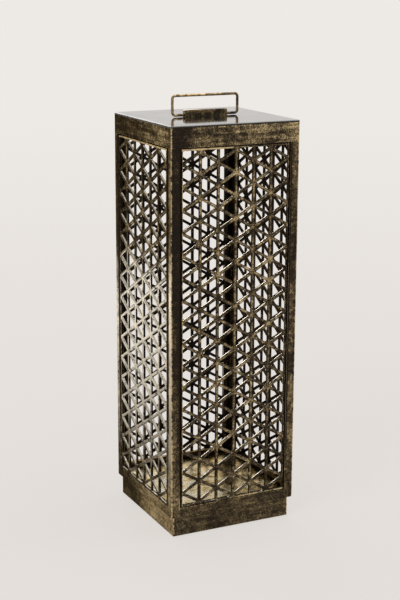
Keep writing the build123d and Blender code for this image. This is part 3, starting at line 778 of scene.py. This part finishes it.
def roundedHoles(hole, radius, steps):
    # (n, m, 2) corners to (n, m, steps + 1, 2) arcs: the arc's centre is where the two sides
    # moved inwards by the radius meet, and its points turn evenly from one side's foot to the
    # next one's
    centre = insetCorners(hole, np.full(hole.shape[:2], radius))
    along = unit(np.roll(hole, -1, 1) - hole)
    outward = np.stack([along[..., 1], -along[..., 0]], -1)
    before = np.roll(outward, 1, 1)
    normal = arcNormals(before, turnBetween(before, outward), steps)
    return centre[..., None, :] + radius * normal, normal


def holeSurfaces(cell, hole, depths):
    # for each opening a tube of rings: flat front from the cell's outline to the soft edge, down
    # the wall, and out again behind. Ring point = rounded hole + normal * spread at a depth.
    front, back = depths
    edge = panel["edge"]
    arc, normal = roundedHoles(hole, panel["corner"], panel["cornerSteps"])
    count, sides, steps = arc.shape[:3]
    ring = arc.reshape(count, sides * steps, 2)
    normal = normal.reshape(count, sides * steps, 2)
    outer = np.repeat(cell, steps, axis=1)
    spreads = [edge, 0.3 * edge, 0, 0, 0.3 * edge, edge]
    levels = [front, front + 0.3 * edge, front + edge, back - edge, back - 0.3 * edge, back]
    flats = [outer] + [ring + normal * spread for spread in spreads] + [outer]
    places = [front] + levels + [back]
    stack = np.stack(flats, 1)
    out = np.broadcast_to(np.array(places)[None, :, None, None], stack.shape[:3] + (1,))
    points = np.concatenate([stack[..., :1], out, stack[..., 1:]], -1)
    marks = np.array([0, 1, 1, 2, 2, 1, 1, 0])
    wear = np.broadcast_to(marks[None, :, None], stack.shape[:3])
    faces = gridFaces(len(places), sides * steps)
    every = faces[None] + (np.arange(count) * len(places) * sides * steps)[:, None, None]
    return points.reshape(-1, 3), every.reshape(-1, 4).tolist(), wear.reshape(-1)


def sideInsets(column):
    # half a bar, or half the border on the outermost columns
    outermost = np.abs(column) == panel["columns"] // 2
    return np.where(outermost, panel["sideBorder"], panel["bar"]) / 2


def wholeCells(layout, side):
    # triangles with their upright side on column a and their tip on column a + side: foot at
    # (a, j), head at (a, j + 1) and tip at (a + side, j + 1/2), counted in pitches and nodes;
    # j is whole on even columns and half on odd ones
    pitch, node, rows = layout["pitch"], layout["node"], layout["rows"]
    upright = layout["columns"][:-1] if side == 1 else layout["columns"][1:]
    cells = []
    holes = []
    for odd in (0, 1):
        base = upright[np.abs(upright) % 2 == odd]
        steps = np.arange(-rows, rows - odd) + 0.5 * odd
        a, j = [grid.ravel() for grid in np.meshgrid(base, steps, indexing="ij")]
        foot = np.stack([a * pitch, j * node], -1)
        head = np.stack([a * pitch, (j + 1) * node], -1)
        tip = np.stack([(a + side) * pitch, (j + 0.5) * node], -1)
        bar = np.full(len(a), panel["bar"] / 2)
        order = [foot, tip, head] if side == 1 else [foot, head, tip]
        insets = [bar, bar, sideInsets(a)] if side == 1 else [sideInsets(a), bar, bar]
        cells.append(np.stack(order, 1))
        holes.append(insetCorners(cells[-1], np.stack(insets, 1)))
    return np.concatenate(cells), np.concatenate(holes)


def borderCells(layout, side):
    # cells cut by the top border, and mirrored for the bottom one: foot on an odd column, tip
    # on the even one beside it
    pitch, node, edgeZ = layout["pitch"], layout["node"], layout["edgeZ"]
    upright = layout["columns"][:-1] if side == 1 else layout["columns"][1:]
    odd = upright[np.abs(upright) % 2 == 1]
    ones = np.ones(len(odd))
    tipLevel = layout["rows"] * node
    footLevel = tipLevel - node / 2
    innerZ = edgeZ - panel["endBorder"] / 2
    inset = sideInsets(odd)
    slope = math.tan(panel["slant"])
    lift = panel["bar"] / 2 / math.cos(panel["slant"])
    x = odd * pitch
    tipX = (odd + side) * pitch
    near = x + side * inset
    at = tipX - side * panel["bar"]     # where two bars' edges and the column's meet
    over = at - side * (innerZ - tipLevel) / slope
    cell = np.stack([
        np.stack([x, ones * footLevel], -1),
        np.stack([tipX, ones * tipLevel], -1),
        np.stack([tipX, ones * edgeZ], -1),
        np.stack([x, ones * edgeZ], -1),
    ], 1)
    hole = np.stack([
        np.stack([near, footLevel + inset * slope + lift], -1),
        np.stack([at, ones * tipLevel], -1),
        np.stack([over, ones * innerZ], -1),
        np.stack([near, ones * innerZ], -1),
    ], 1)
    if side == -1:
        cell = cell[:, ::-1]
        hole = hole[:, ::-1]
    flip = np.array([1, -1])
    return (
        np.concatenate([cell, (cell * flip)[:, ::-1]]),
        np.concatenate([hole, (hole * flip)[:, ::-1]]),
    )


def panelRim(layout):
    # the panel's outer edge: a profile of (outward, depth) carried round the border's middle
    # line, with a station at every place where a cell's outline ends
    front, back = layout["depths"]
    edgeX, edgeZ, rows = layout["edgeX"], layout["edgeZ"], layout["rows"]
    soft = panel["outerEdge"]
    columns = layout["columns"] * layout["pitch"]
    sideStops = (np.arange(-rows, rows) + 0.5) * layout["node"]
    stops = np.concatenate([[-edgeZ], sideStops, [edgeZ]])
    path = np.concatenate([
        np.stack([columns, np.full_like(columns, -edgeZ)], -1)[:-1],
        np.stack([np.full_like(stops, edgeX), stops], -1)[:-1],
        np.stack([columns[::-1], np.full_like(columns, edgeZ)], -1)[:-1],
        np.stack([np.full_like(stops, -edgeX), stops[::-1]], -1)[:-1],
    ])
    outward = np.stack([
        np.where(np.isclose(np.abs(path[:, 0]), edgeX), np.sign(path[:, 0]), 0),
        np.where(np.isclose(np.abs(path[:, 1]), edgeZ), np.sign(path[:, 1]), 0),
    ], -1)
    reach = np.array([panel["sideBorder"], panel["endBorder"]]) / 2
    angle = np.linspace(0, math.pi / 2, panel["outerEdgeSteps"] + 1)
    pull = np.concatenate([[1.15 * soft], soft * (1 - np.sin(angle))])
    depth = np.concatenate([[0], soft * (1 - np.cos(angle))])
    pull = np.concatenate([pull, pull[::-1]])
    out = np.concatenate([[front], front + depth, back - depth[::-1], [back]])
    worn = np.ones(2 * len(angle))
    marks = np.concatenate([[0, 0], worn, [0, 0]])
    rings = path[None] + outward[None] * (reach - pull[:, None, None])
    flat = np.concatenate([path[None], rings, path[None]])
    tall = np.broadcast_to(out[:, None, None], flat.shape[:2] + (1,))
    points = np.concatenate([flat[..., :1], tall, flat[..., 1:]], -1)
    wear = np.broadcast_to(marks[:, None], flat.shape[:2])
    return points.reshape(-1, 3), gridFaces(len(out), len(path)).tolist(), wear.reshape(-1)


def makePanels():
    layout = panelLayout()
    surfaces = []
    for makeCells in (wholeCells, borderCells):
        towardsRight, towardsLeft = makeCells(layout, 1), makeCells(layout, -1)
        cell, hole = [np.concatenate(pair) for pair in zip(towardsRight, towardsLeft)]
        surfaces.append(holeSurfaces(cell, hole, layout["depths"]))
    surfaces.append(panelRim(layout))
    raised = [(points + [0, 0, layout["middle"]], faces, wear) for points, faces, wear in surfaces]
    makeFour("lattice_panel_", sideNames, "_bars", raised, metals["lattice"])


makePanels()
print("lattice panels: made")


# Corner posts: one folded sheet each, its section carried up the post

post = {
    "sheet": 1.5 * mm,
    "face": 13.7 * mm,
    "rebate": 2.7 * mm,
    "ledge": 3.9 * mm,
    "cornerRadius": 1.2 * mm,
    "foldRadius": 0.7 * mm,
    "sheetEdge": 0.25 * mm,  # also the radius inside a fold
    "hold": 0.6 * mm,
    "foldSteps": 5,
    "edgeSteps": 2,
}


def makePosts():
    low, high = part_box("corner_post_front_left")
    sheet, face, rebate = post["sheet"], post["face"], post["rebate"]
    end = face + post["ledge"]
    behind = rebate + sheet
    fold, tip = post["foldRadius"], post["sheetEdge"]
    section = [
        (0, 0, post["cornerRadius"]),
        (face, 0, fold),
        (face, rebate, tip),
        (end, rebate, tip),
        (end, behind, tip),
        (face - sheet, behind, fold),
        (face - sheet, sheet, tip),
        (sheet, sheet, tip),
        (sheet, face - sheet, tip),
        (behind, face - sheet, fold),
        (behind, end, tip),
        (rebate, end, tip),
        (rebate, face, tip),
        (0, face, fold),
    ]
    corners = [(low.x + x, low.y + y) for x, y, radius in section]
    radii = [radius for x, y, radius in section]
    outline = softOutline(corners, radii, post["hold"], post["foldSteps"])
    rings = endRings(low.z, high.z, tip, post["hold"] / 4, post["edgeSteps"])
    surface = ringStack(outline, rings)
    makeFour("corner_post_", cornerNames, "_fold", [surface], metals["upright"])


makePosts()
print("corner posts: made")


# Bottom rails: folded section carried along the side. Beyond the ledge's ends the section is
# clipped to the outer web and its top fold.

rail = {
    "sheet": 1.5 * mm,
    "foldRadius": 0.7 * mm,
    "tip": 0.25 * mm,
    "hold": 0.6 * mm,
    "foldSteps": 4,
}


def makeRails():
    low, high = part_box("bottom_rail_front")
    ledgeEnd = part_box("corner_post_front_left")[1].x
    webEnd = high.x
    sheet, rebate = rail["sheet"], post["rebate"]
    top = high.z - post["ledge"]
    depth = high.y - low.y
    behind = rebate + sheet
    fold, tip = rail["foldRadius"], rail["tip"]
    section = [
        (0, low.z, tip),
        (depth, low.z, tip),
        (depth, low.z + sheet, tip),
        (sheet, low.z + sheet, tip),
        (sheet, top - sheet, tip),
        (behind, top - sheet, fold),
        (behind, high.z, tip),
        (rebate, high.z, tip),
        (rebate, top, tip),
        (0, top, fold),
    ]
    corners = [(low.y + y, z) for y, z, radius in section]
    radii = [radius for y, z, radius in section]
    points, normals, wear = softOutline(corners, radii, rail["hold"], rail["foldSteps"])
    clippedDepth = np.where(points[:, 1] > top - sheet - tip, rebate, sheet)
    clipped = np.stack([
        np.minimum(points[:, 0], low.y + clippedDepth),
        np.minimum(points[:, 1], top),
    ], -1)
    stations = [
        # place along the side, inset, section
        (-webEnd, tip, clipped),
        (-webEnd + tip, 0, clipped),
        (ledgeEnd, 0, clipped),
        (ledgeEnd, 0, points),
        (-ledgeEnd, 0, points),
        (-ledgeEnd, 0, clipped),
        (webEnd - tip, 0, clipped),
        (webEnd, tip, clipped),
    ]
    stack = np.concatenate([
        np.column_stack([np.full(len(shape), place), shape - normals * inset])
        for place, inset, shape in stations
    ])
    faces = closedFaces(len(stations), len(points))
    surface = (stack, faces, np.tile(wear, len(stations)))
    makeFour("bottom_rail_", sideNames, "_fold", [surface], metals["rail"])


makeRails()
print("bottom rails: made")


# Cap and plinth walls: mitred at the corners, the outer corner softened

wall = {
    "radius": 1.2 * mm,
    "cornerPoints": 5,
    "capSheet": 2.5 * mm,
    "capEdge": 0.35 * mm,
    "plinthSheet": 2.0 * mm,
    "plinthEdge": 0.5 * mm,
    "edgeSteps": 3,
    "hold": 0.8 * mm,
}


def makeWalls(prefix, sides, thickness, edge, material):
    # outline of one wall: half of each rounded outer corner, point = centre + radius * (cos a,
    # sin a), and the mitred inner corners; carried up as rings
    low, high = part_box(prefix + "front")
    outer = -low.y
    inner = outer - thickness
    radius, hold, count = wall["radius"], wall["hold"], wall["cornerPoints"]
    mitre = np.linspace(math.radians(225), math.radians(270), count)
    left = np.stack([np.cos(mitre), np.sin(mitre)], -1)
    right = left[::-1] * [-1, 1]
    down = np.array([[0.0, -1.0]])
    points = np.concatenate([
        left * radius + [-outer + radius, -outer + radius],
        [[-outer + radius + hold, -outer]],
        [[outer - radius - hold, -outer]],
        right * radius + [outer - radius, -outer + radius],
        [[inner, -inner]],
        [[-inner, -inner]],
    ])
    normals = np.concatenate([left, down, down, right, [[0, 0]], [[0, 0]]])
    wear = np.concatenate([np.ones(count), [0, 0], np.ones(count), [0, 0]])
    rings = endRings(low.z, high.z, edge, hold, wall["edgeSteps"])
    surface = ringStack((points, normals, wear), rings)
    makeFour(prefix, sides, "_wall", [surface], material)


# the cap's back wall keeps its own mesh, with the socket's slot and the button's hole
makeWalls(
    "cap_side_", ["front", "right", None, "left"], wall["capSheet"], wall["capEdge"],
    metals["level"],
)
print("cap walls: made")


# Lid: rounded square with a chamfer whose two edges are softened

lid = {
    "radius": 1.2 * mm,
    "cornerSteps": 6,
    "chamfer": 1.0 * mm,
    "soft": 0.18 * mm,
    "under": 0.3 * mm,       # softened edge underneath
    "hold": 1.0 * mm,
}


def makeLid():
    # rings of (inset, height): up over the lower edge, up the side, and over the chamfer, which
    # starts and ends in a soft edge
    low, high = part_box("lid_plate")
    half = high.x
    square = [(-half, -half), (half, -half), (half, half), (-half, half)]
    outline = softOutline(square, lid["radius"], lid["hold"], lid["cornerSteps"])
    chamfer, soft, under = lid["chamfer"], lid["soft"], lid["under"]
    lowerInset = np.array([under + lid["hold"], under, 0.3 * under, 0])
    upperInset = [0, 0.1 * soft, soft, chamfer - soft, chamfer - 0.1 * soft, chamfer]
    upperInset = np.array(upperInset + [chamfer + soft])
    rise = np.array([0, 0, 0.3 * under, under])
    fall = np.array([chamfer + soft, chamfer, chamfer - soft, soft, 0.1 * soft, 0, 0])
    inset = np.concatenate([lowerInset, upperInset])
    height = np.concatenate([low.z + rise, high.z - fall])
    ringWear = np.array([0, 1, 1, 1, 0, 1, 0.7, 0.7, 1, 0.6, 0])
    surface = ringStack(outline, (inset, height, ringWear))
    makePiece("lid_plate_polished", [surface], metals["lid"], "lantern", ["lid_plate"])


makeLid()
print("lid: made")


# Handle: a round rod carried along its path, bent at four corners, ends inside the hinge block

handle = {
    "bend": 4.6 * mm,
    "pivot": 14 * mm,        # rod inside the block at each end
    "roundSteps": 20,
    "bendSteps": 8,
    "endSoft": 0.3 * mm,
    "topWear": 0.9,
}


def makeHandle():
    # path = straight rod with an arc of the bend's radius at each corner; surface point = path +
    # radius * (cos a along the path's normal, sin a in depth). Wear grows as the height squared.
    low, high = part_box("handle_bail")
    radius = (high.y - low.y) / 2
    side = high.x - radius
    top = high.z - radius
    axis = low.z + radius
    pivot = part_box("hinge_block")[1].x - handle["pivot"]
    corners = np.array([
        (-pivot, axis), (-side, axis), (-side, top), (side, top), (side, axis), (pivot, axis),
    ])
    bend, soft, around = handle["bend"], handle["endSoft"], handle["roundSteps"]
    before = unit(corners[1:-1] - corners[:-2])
    after = unit(corners[2:] - corners[1:-1])
    turn = turnBetween(before, after)
    sign = np.sign(turn)[:, None]
    left = np.stack([-before[:, 1], before[:, 0]], -1)
    start = corners[1:-1] - before * bend
    centre = start + left * bend * sign
    outward = arcNormals(-left * sign, turn, handle["bendSteps"])
    arcs = centre[:, None] + bend * outward
    heading = np.stack([-outward[..., 1], outward[..., 0]], -1) * sign[:, None]
    ends = np.array([(-pivot, axis), (-pivot, axis), (-pivot - soft, axis)])
    inwards = np.tile([[-1.0, 0.0]], (len(ends), 1))
    path = np.concatenate([ends, arcs.reshape(-1, 2), ends[::-1] * [-1, 1]])
    direction = np.concatenate([inwards, heading.reshape(-1, 2), inwards])
    size = np.full(len(path), radius)
    size[[0, -1]] = 0
    size[[1, -2]] = radius - soft
    angle = np.linspace(0, 2 * math.pi, around, endpoint=False)
    normal = np.stack([-direction[:, 1], direction[:, 0]], -1)
    inPlane = size[:, None] * np.cos(angle)[None]
    depth = size[:, None] * np.sin(angle)[None]
    x = path[:, :1] + normal[:, :1] * inPlane
    z = path[:, 1:] + normal[:, 1:] * inPlane
    points = np.stack([x, depth, z], -1).reshape(-1, 3)
    wear = np.clip((z - axis) / (top - axis), 0, 1) ** 2 * handle["topWear"]
    surface = (points, gridFaces(len(path), around).tolist(), wear.reshape(-1))
    makePiece(
        "handle_bail_rod", [surface], metals["handle"], "bail", ["handle_bail"]
    )


makeHandle()
print("handle: made")


# Hinge block: the solid's own mesh, its loose triangles merged, with every sharp edge eased

hingeBlock = {"ease": 0.45 * mm, "steps": 2, "flatAngle": 1, "smoothAngle": 40, "sharpAngle": 50}


def makeBlock():
    name = "hinge_block"
    mesh = frame["nodes"][name].data.copy()
    mesh.materials.clear()
    mesh.materials.append(metals["handle"])
    work = bmesh.new()
    work.from_mesh(mesh)
    bmesh.ops.remove_doubles(work, verts=work.verts, dist=joining["weld"])
    bmesh.ops.dissolve_limit(
        work,
        angle_limit=math.radians(hingeBlock["flatAngle"]),
        verts=work.verts,
        edges=work.edges,
        use_dissolve_boundaries=False,
    )
    work.to_mesh(mesh)
    work.free()
    mesh.shade_smooth()
    mesh.set_sharp_from_angle(angle=math.radians(hingeBlock["smoothAngle"]))
    piece = shownPiece(name + "_eased", mesh, "lantern", [name])
    ease = piece.modifiers.new("ease", "BEVEL")
    ease.width = hingeBlock["ease"]
    ease.segments = hingeBlock["steps"]
    ease.limit_method = "ANGLE"
    ease.angle_limit = math.radians(hingeBlock["sharpAngle"])


makeBlock()
print("hinge block: made")

makeWalls("plinth_side_", sideNames, wall["plinthSheet"], wall["plinthEdge"], metals["plinth"])
print("plinth walls: made")


# Nodes kept as they are, with their own finishes

floorPolish = {
    "tones": [
        (0.22, (0.22, 0.14, 0.05)),
        (0.45, (0.78, 0.56, 0.22)),
        (0.64, (0.97, 0.82, 0.48)),
        (0.90, (0.98, 0.90, 0.74)),
    ],
    "level": 0.45,
    "stains": (30 * mm, 1.5),       # size of a blotch, and how much it moves the tone
    "patches": (11 * mm, 1.3),
    "leftGold": 0.22,               # painted light: the tone rises by this towards the left
    "leftPlaces": (50 * mm, -50 * mm),
    "scratches": 12 * mm,
    "scratchScale": (1, 30, 1),
    "relief": 0.03 * mm,
}


def polishedBrass(name, look):
    # yellow metal: tone from broad stains and patches, and painted light towards the left; the
    # roughness rises with the stains and with fine polishing scratches
    g = newMaterial(name)
    here = g.place()
    stain = g.noise(here, look["stains"][0], 5, 0.6, 0.5)
    patch = g.noise(here, look["patches"][0], 4, 0.6, 0.4)
    scratch = g.noise(g.place(look["scratchScale"]), look["scratches"], 5, 0.75)
    tone = startTone(look, {"stains": stain, "patches": patch})
    tone += look["leftGold"] * g.smooth(g.axes(here)[0], *look["leftPlaces"])
    return g.finish(**{
        "Base Color": g.ramp(tone, look["tones"]),
        "Metallic": 1.0,
        "Roughness": 0.12 + 0.16 * stain + 0.08 * scratch,
        "Normal": g.bump(scratch * 0.4 + stain * 0.6, look["relief"], 0.5),
    })


def plainMetal(name, color, dark, rough):
    # rolled or plated metal: fine grain and a few stains
    g = newMaterial(name)
    stain = g.noise(g.place(), 14 * mm, 5, 0.6)
    grain = g.noise(g.place((1, 12, 1)), 3 * mm, 3, 0.7)
    return g.finish(**{
        "Base Color": g.blend(g.smooth(stain * 0.7 + grain * 0.3, 0.40, 0.62), color, dark),
        "Metallic": 1.0,
        "Roughness": rough + 0.2 * grain,
        "Normal": g.bump(grain, 0.02 * mm, 0.5),
    })


def mouldedPlastic(name, color, other, rough, pebble):
    # fine moulded pebble, slightly cloudy colour
    g = newMaterial(name)
    here = g.place()
    cloud = g.noise(here, 20 * mm, 3, 0.5)
    texture = g.noise(here, pebble, 2, 0.5)
    return g.finish(**{
        "Base Color": g.blend(g.smooth(cloud, 0.35, 0.65), color, other),
        "Roughness": rough + 0.12 * texture,
        "Normal": g.bump(texture, 0.04 * mm, 0.6),
    })


plainMetals = {
    # slot: name, colour, colour of its stains, roughness
    "button_brass": ("turned_brass", (0.42, 0.31, 0.15), (0.24, 0.17, 0.09), 0.25),
    "plain_brass": ("plain_brass", (0.55, 0.40, 0.19), (0.30, 0.21, 0.11), 0.38),
    "base_steel": ("blackened_steel", (0.07, 0.07, 0.072), (0.035, 0.034, 0.034), 0.45),
    "screw_steel": ("zinc_steel", (0.50, 0.50, 0.51), (0.36, 0.36, 0.36), 0.32),
    "aluminium": ("aluminium", (0.70, 0.71, 0.72), (0.58, 0.59, 0.60), 0.36),
}
plastics = {
    # slot: name, its two colours, roughness, size of the pebble
    "opal_plastic": ("opal", (0.86, 0.85, 0.81), (0.80, 0.79, 0.74), 0.42, 0.8 * mm),
    "foot_rubber": ("rubber", (0.03, 0.03, 0.03), (0.05, 0.05, 0.048), 0.75, 0.5 * mm),
    "black_plastic": ("black_plastic", (0.03, 0.03, 0.032), (0.04, 0.04, 0.04), 0.5, 0.4 * mm),
    "cell_sleeve": ("cell_sleeve", (0.06, 0.13, 0.34), (0.05, 0.11, 0.28), 0.3, 2 * mm),
    "circuit_board": ("circuit_board", (0.04, 0.16, 0.08), (0.03, 0.12, 0.06), 0.35, 0.3 * mm),
    "chip_resin": ("chip_resin", (0.80, 0.62, 0.16), (0.72, 0.54, 0.12), 0.4, 0.2 * mm),
    "lead_insulation": ("lead_insulation", (0.46, 0.03, 0.025), (0.38, 0.03, 0.02), 0.45, 1 * mm),
}
finishes = {
    "floor_brass": polishedBrass("polished_brass", floorPolish),
    "handle_brass": metals["handle"],
    "patina_brass": metals["level"],
    "lattice_brass": metals["lattice"],
    "lid_brass": metals["lid"],
    **{slot: plainMetal(*settings) for slot, settings in plainMetals.items()},
    **{slot: mouldedPlastic(*settings) for slot, settings in plastics.items()},
}
slotOf = {row["node"]: row["material_slot"] for row in frame["record"]["subparts"]}
for node, piece in frame["nodes"].items():
    piece.data.materials.clear()
    piece.data.materials.append(finishes[slotOf[node]])
print("finishes: %d on %d nodes" % (len(finishes), len(slotOf)))


# Stage, light and camera

stage = {
    "reach": 60.0,
    "pool": (0.82, 0.80, 0.775),    # the floor's own colour
    "near": (0.780, 0.742, 0.705),  # as it is seen beside the lantern, darkened as painted shade
    "far": (0.850, 0.820, 0.790),   # and far off
    "fade": (0.5, 2.6),             # square roots of the distances where this begins and ends
    "shadowShare": 0.18,
    "shadowReach": (1.6, 0.4),
    "room": 0.45,                   # the world as soft light, 1 is white
    "roomColor": (1, 0.99, 0.975),
}


def seenRays(g):
    # 1 for what the camera sees, straight, mirrored or through glass
    outputs = g.node("ShaderNodeLightPath").socket.node.outputs
    names = ("Is Camera Ray", "Is Glossy Ray", "Is Transmission Ray")
    straight, mirrored, through = [Level(g, outputs[name]) for name in names]
    return (straight + mirrored + through).least(1)


def makeFloor():
    # a pale glow that rises with the square root of the distance from the lantern, so that it is
    # painted darker beside it as painted shade, with a share of the lit floor near it, so that its
    # shadow shows
    half = stage["reach"]
    mesh = bpy.data.meshes.new("stage_floor")
    corners = [(-half, -half, 0), (half, -half, 0), (half, half, 0), (-half, half, 0)]
    mesh.from_pydata(corners, [], [(0, 1, 2, 3)])
    floor = inScene("stage_floor", mesh)
    g = newMaterial("stage_floor")
    away = g.node("ShaderNodeVectorMath", {"operation": "LENGTH"}, {0: g.place()}, output=1)
    tint = g.blend(g.smooth(away ** 0.5, *stage["fade"]), stage["near"], stage["far"])
    lit = g.node("ShaderNodeBsdfDiffuse", {}, {"Color": (*stage["pool"], 1)})
    glow = g.node("ShaderNodeEmission", {}, {"Color": tint, "Strength": 1.0})
    share = stage["shadowShare"] * g.smooth(away, *stage["shadowReach"])
    pale = g.node("ShaderNodeMixShader", {}, {0: share, 1: glow, 2: lit})
    both = g.node("ShaderNodeMixShader", {}, {0: seenRays(g), 1: lit, 2: pale})
    g.node("ShaderNodeOutputMaterial", {}, {"Surface": both})
    mesh.materials.append(g.owner)


def makeWorld():
    # pale where it is seen or mirrored, and a soft even light for the rest
    g = Graph(bpy.data.worlds.new("studio"))
    soft = {"Color": (*stage["roomColor"], 1), "Strength": stage["room"]}
    room = g.node("ShaderNodeBackground", {}, soft)
    pale = g.node("ShaderNodeBackground", {}, {"Color": (*stage["far"], 1), "Strength": 1.0})
    both = g.node("ShaderNodeMixShader", {}, {0: seenRays(g), 1: room, 2: pale})
    g.node("ShaderNodeOutputWorld", {}, {"Surface": both})
    bpy.context.scene.world = g.owner


softBoxes = {
    # place, point it faces, width, height, level (1 is white)
    "overhead": ((0.7, -0.1, 2.5), (0, 0, 0.5), 1.3, 1.3, 3.0),
    "back": ((0.15, 2.4, 1.60), (0, 0, 0.3), 1.4, 0.7, 6.0),
    "key": ((-2.2, -1.2, 1.3), (0, 0, 0.3), 1.3, 1.5, 5.0),
    # just above the floor, shining up
    "farPool": ((-0.60, 1.20, 0.004), (-0.60, 1.2001, 1), 0.9, 0.5, 2.0),
    "nearPool": ((-0.45, 0.70, 0.004), (-0.45, 0.7001, 1), 0.8, 0.5, 0.8),
}


def aimed(piece, place, right, up, back):
    # lamps and cameras look along their own -Z, so back is +Z
    turn = Matrix(np.column_stack([right, up, back]).tolist())
    piece.matrix_world = Matrix.Translation(place) @ turn.to_4x4()


def makeLights():
    # energy = level * pi * area, at which a surface close to the lamp is as light as the level
    for name, (place, aim, width, height, level) in softBoxes.items():
        lamp = bpy.data.lights.new(name, "AREA")
        lamp.shape = "RECTANGLE"
        lamp.size = width
        lamp.size_y = height
        lamp.energy = level * math.pi * width * height
        box = inScene(name, lamp)
        box.visible_camera = False
        back = unit(np.array(place) - np.array(aim))
        right = unit(np.cross([0, 0, 1], back))
        aimed(box, place, right, np.cross(back, right), back)


view = {
    "position": (-0.862442, -1.752130, 0.814317),
    "azimuth": -26.027,
    "elevation": 14.0394,
    "roll": 0.2497,
    "lens": 80.95,
    "sensor": 36,
    "clip": 200,
}


def makeCamera():
    # looks from the azimuth and elevation towards the lantern, and then rolls
    data = bpy.data.cameras.new("camera")
    data.lens = view["lens"]
    data.sensor_width = view["sensor"]
    data.clip_end = view["clip"]
    camera = inScene("camera", data)
    azimuth, elevation, roll = [math.radians(view[key]) for key in ("azimuth", "elevation", "roll")]
    away = np.array([math.sin(azimuth), -math.cos(azimuth)]) * math.cos(elevation)
    back = np.array([*away, math.sin(elevation)])
    level = np.array([math.cos(azimuth), math.sin(azimuth), 0])
    plumb = np.cross(back, level)
    right = math.cos(roll) * level + math.sin(roll) * plumb
    up = math.cos(roll) * plumb - math.sin(roll) * level
    aimed(camera, view["position"], right, up, back)
    bpy.context.scene.camera = camera


makeFloor()
makeWorld()
makeLights()
makeCamera()
bpy.context.scene.view_settings.view_transform = "Standard"
print("stage: ready")
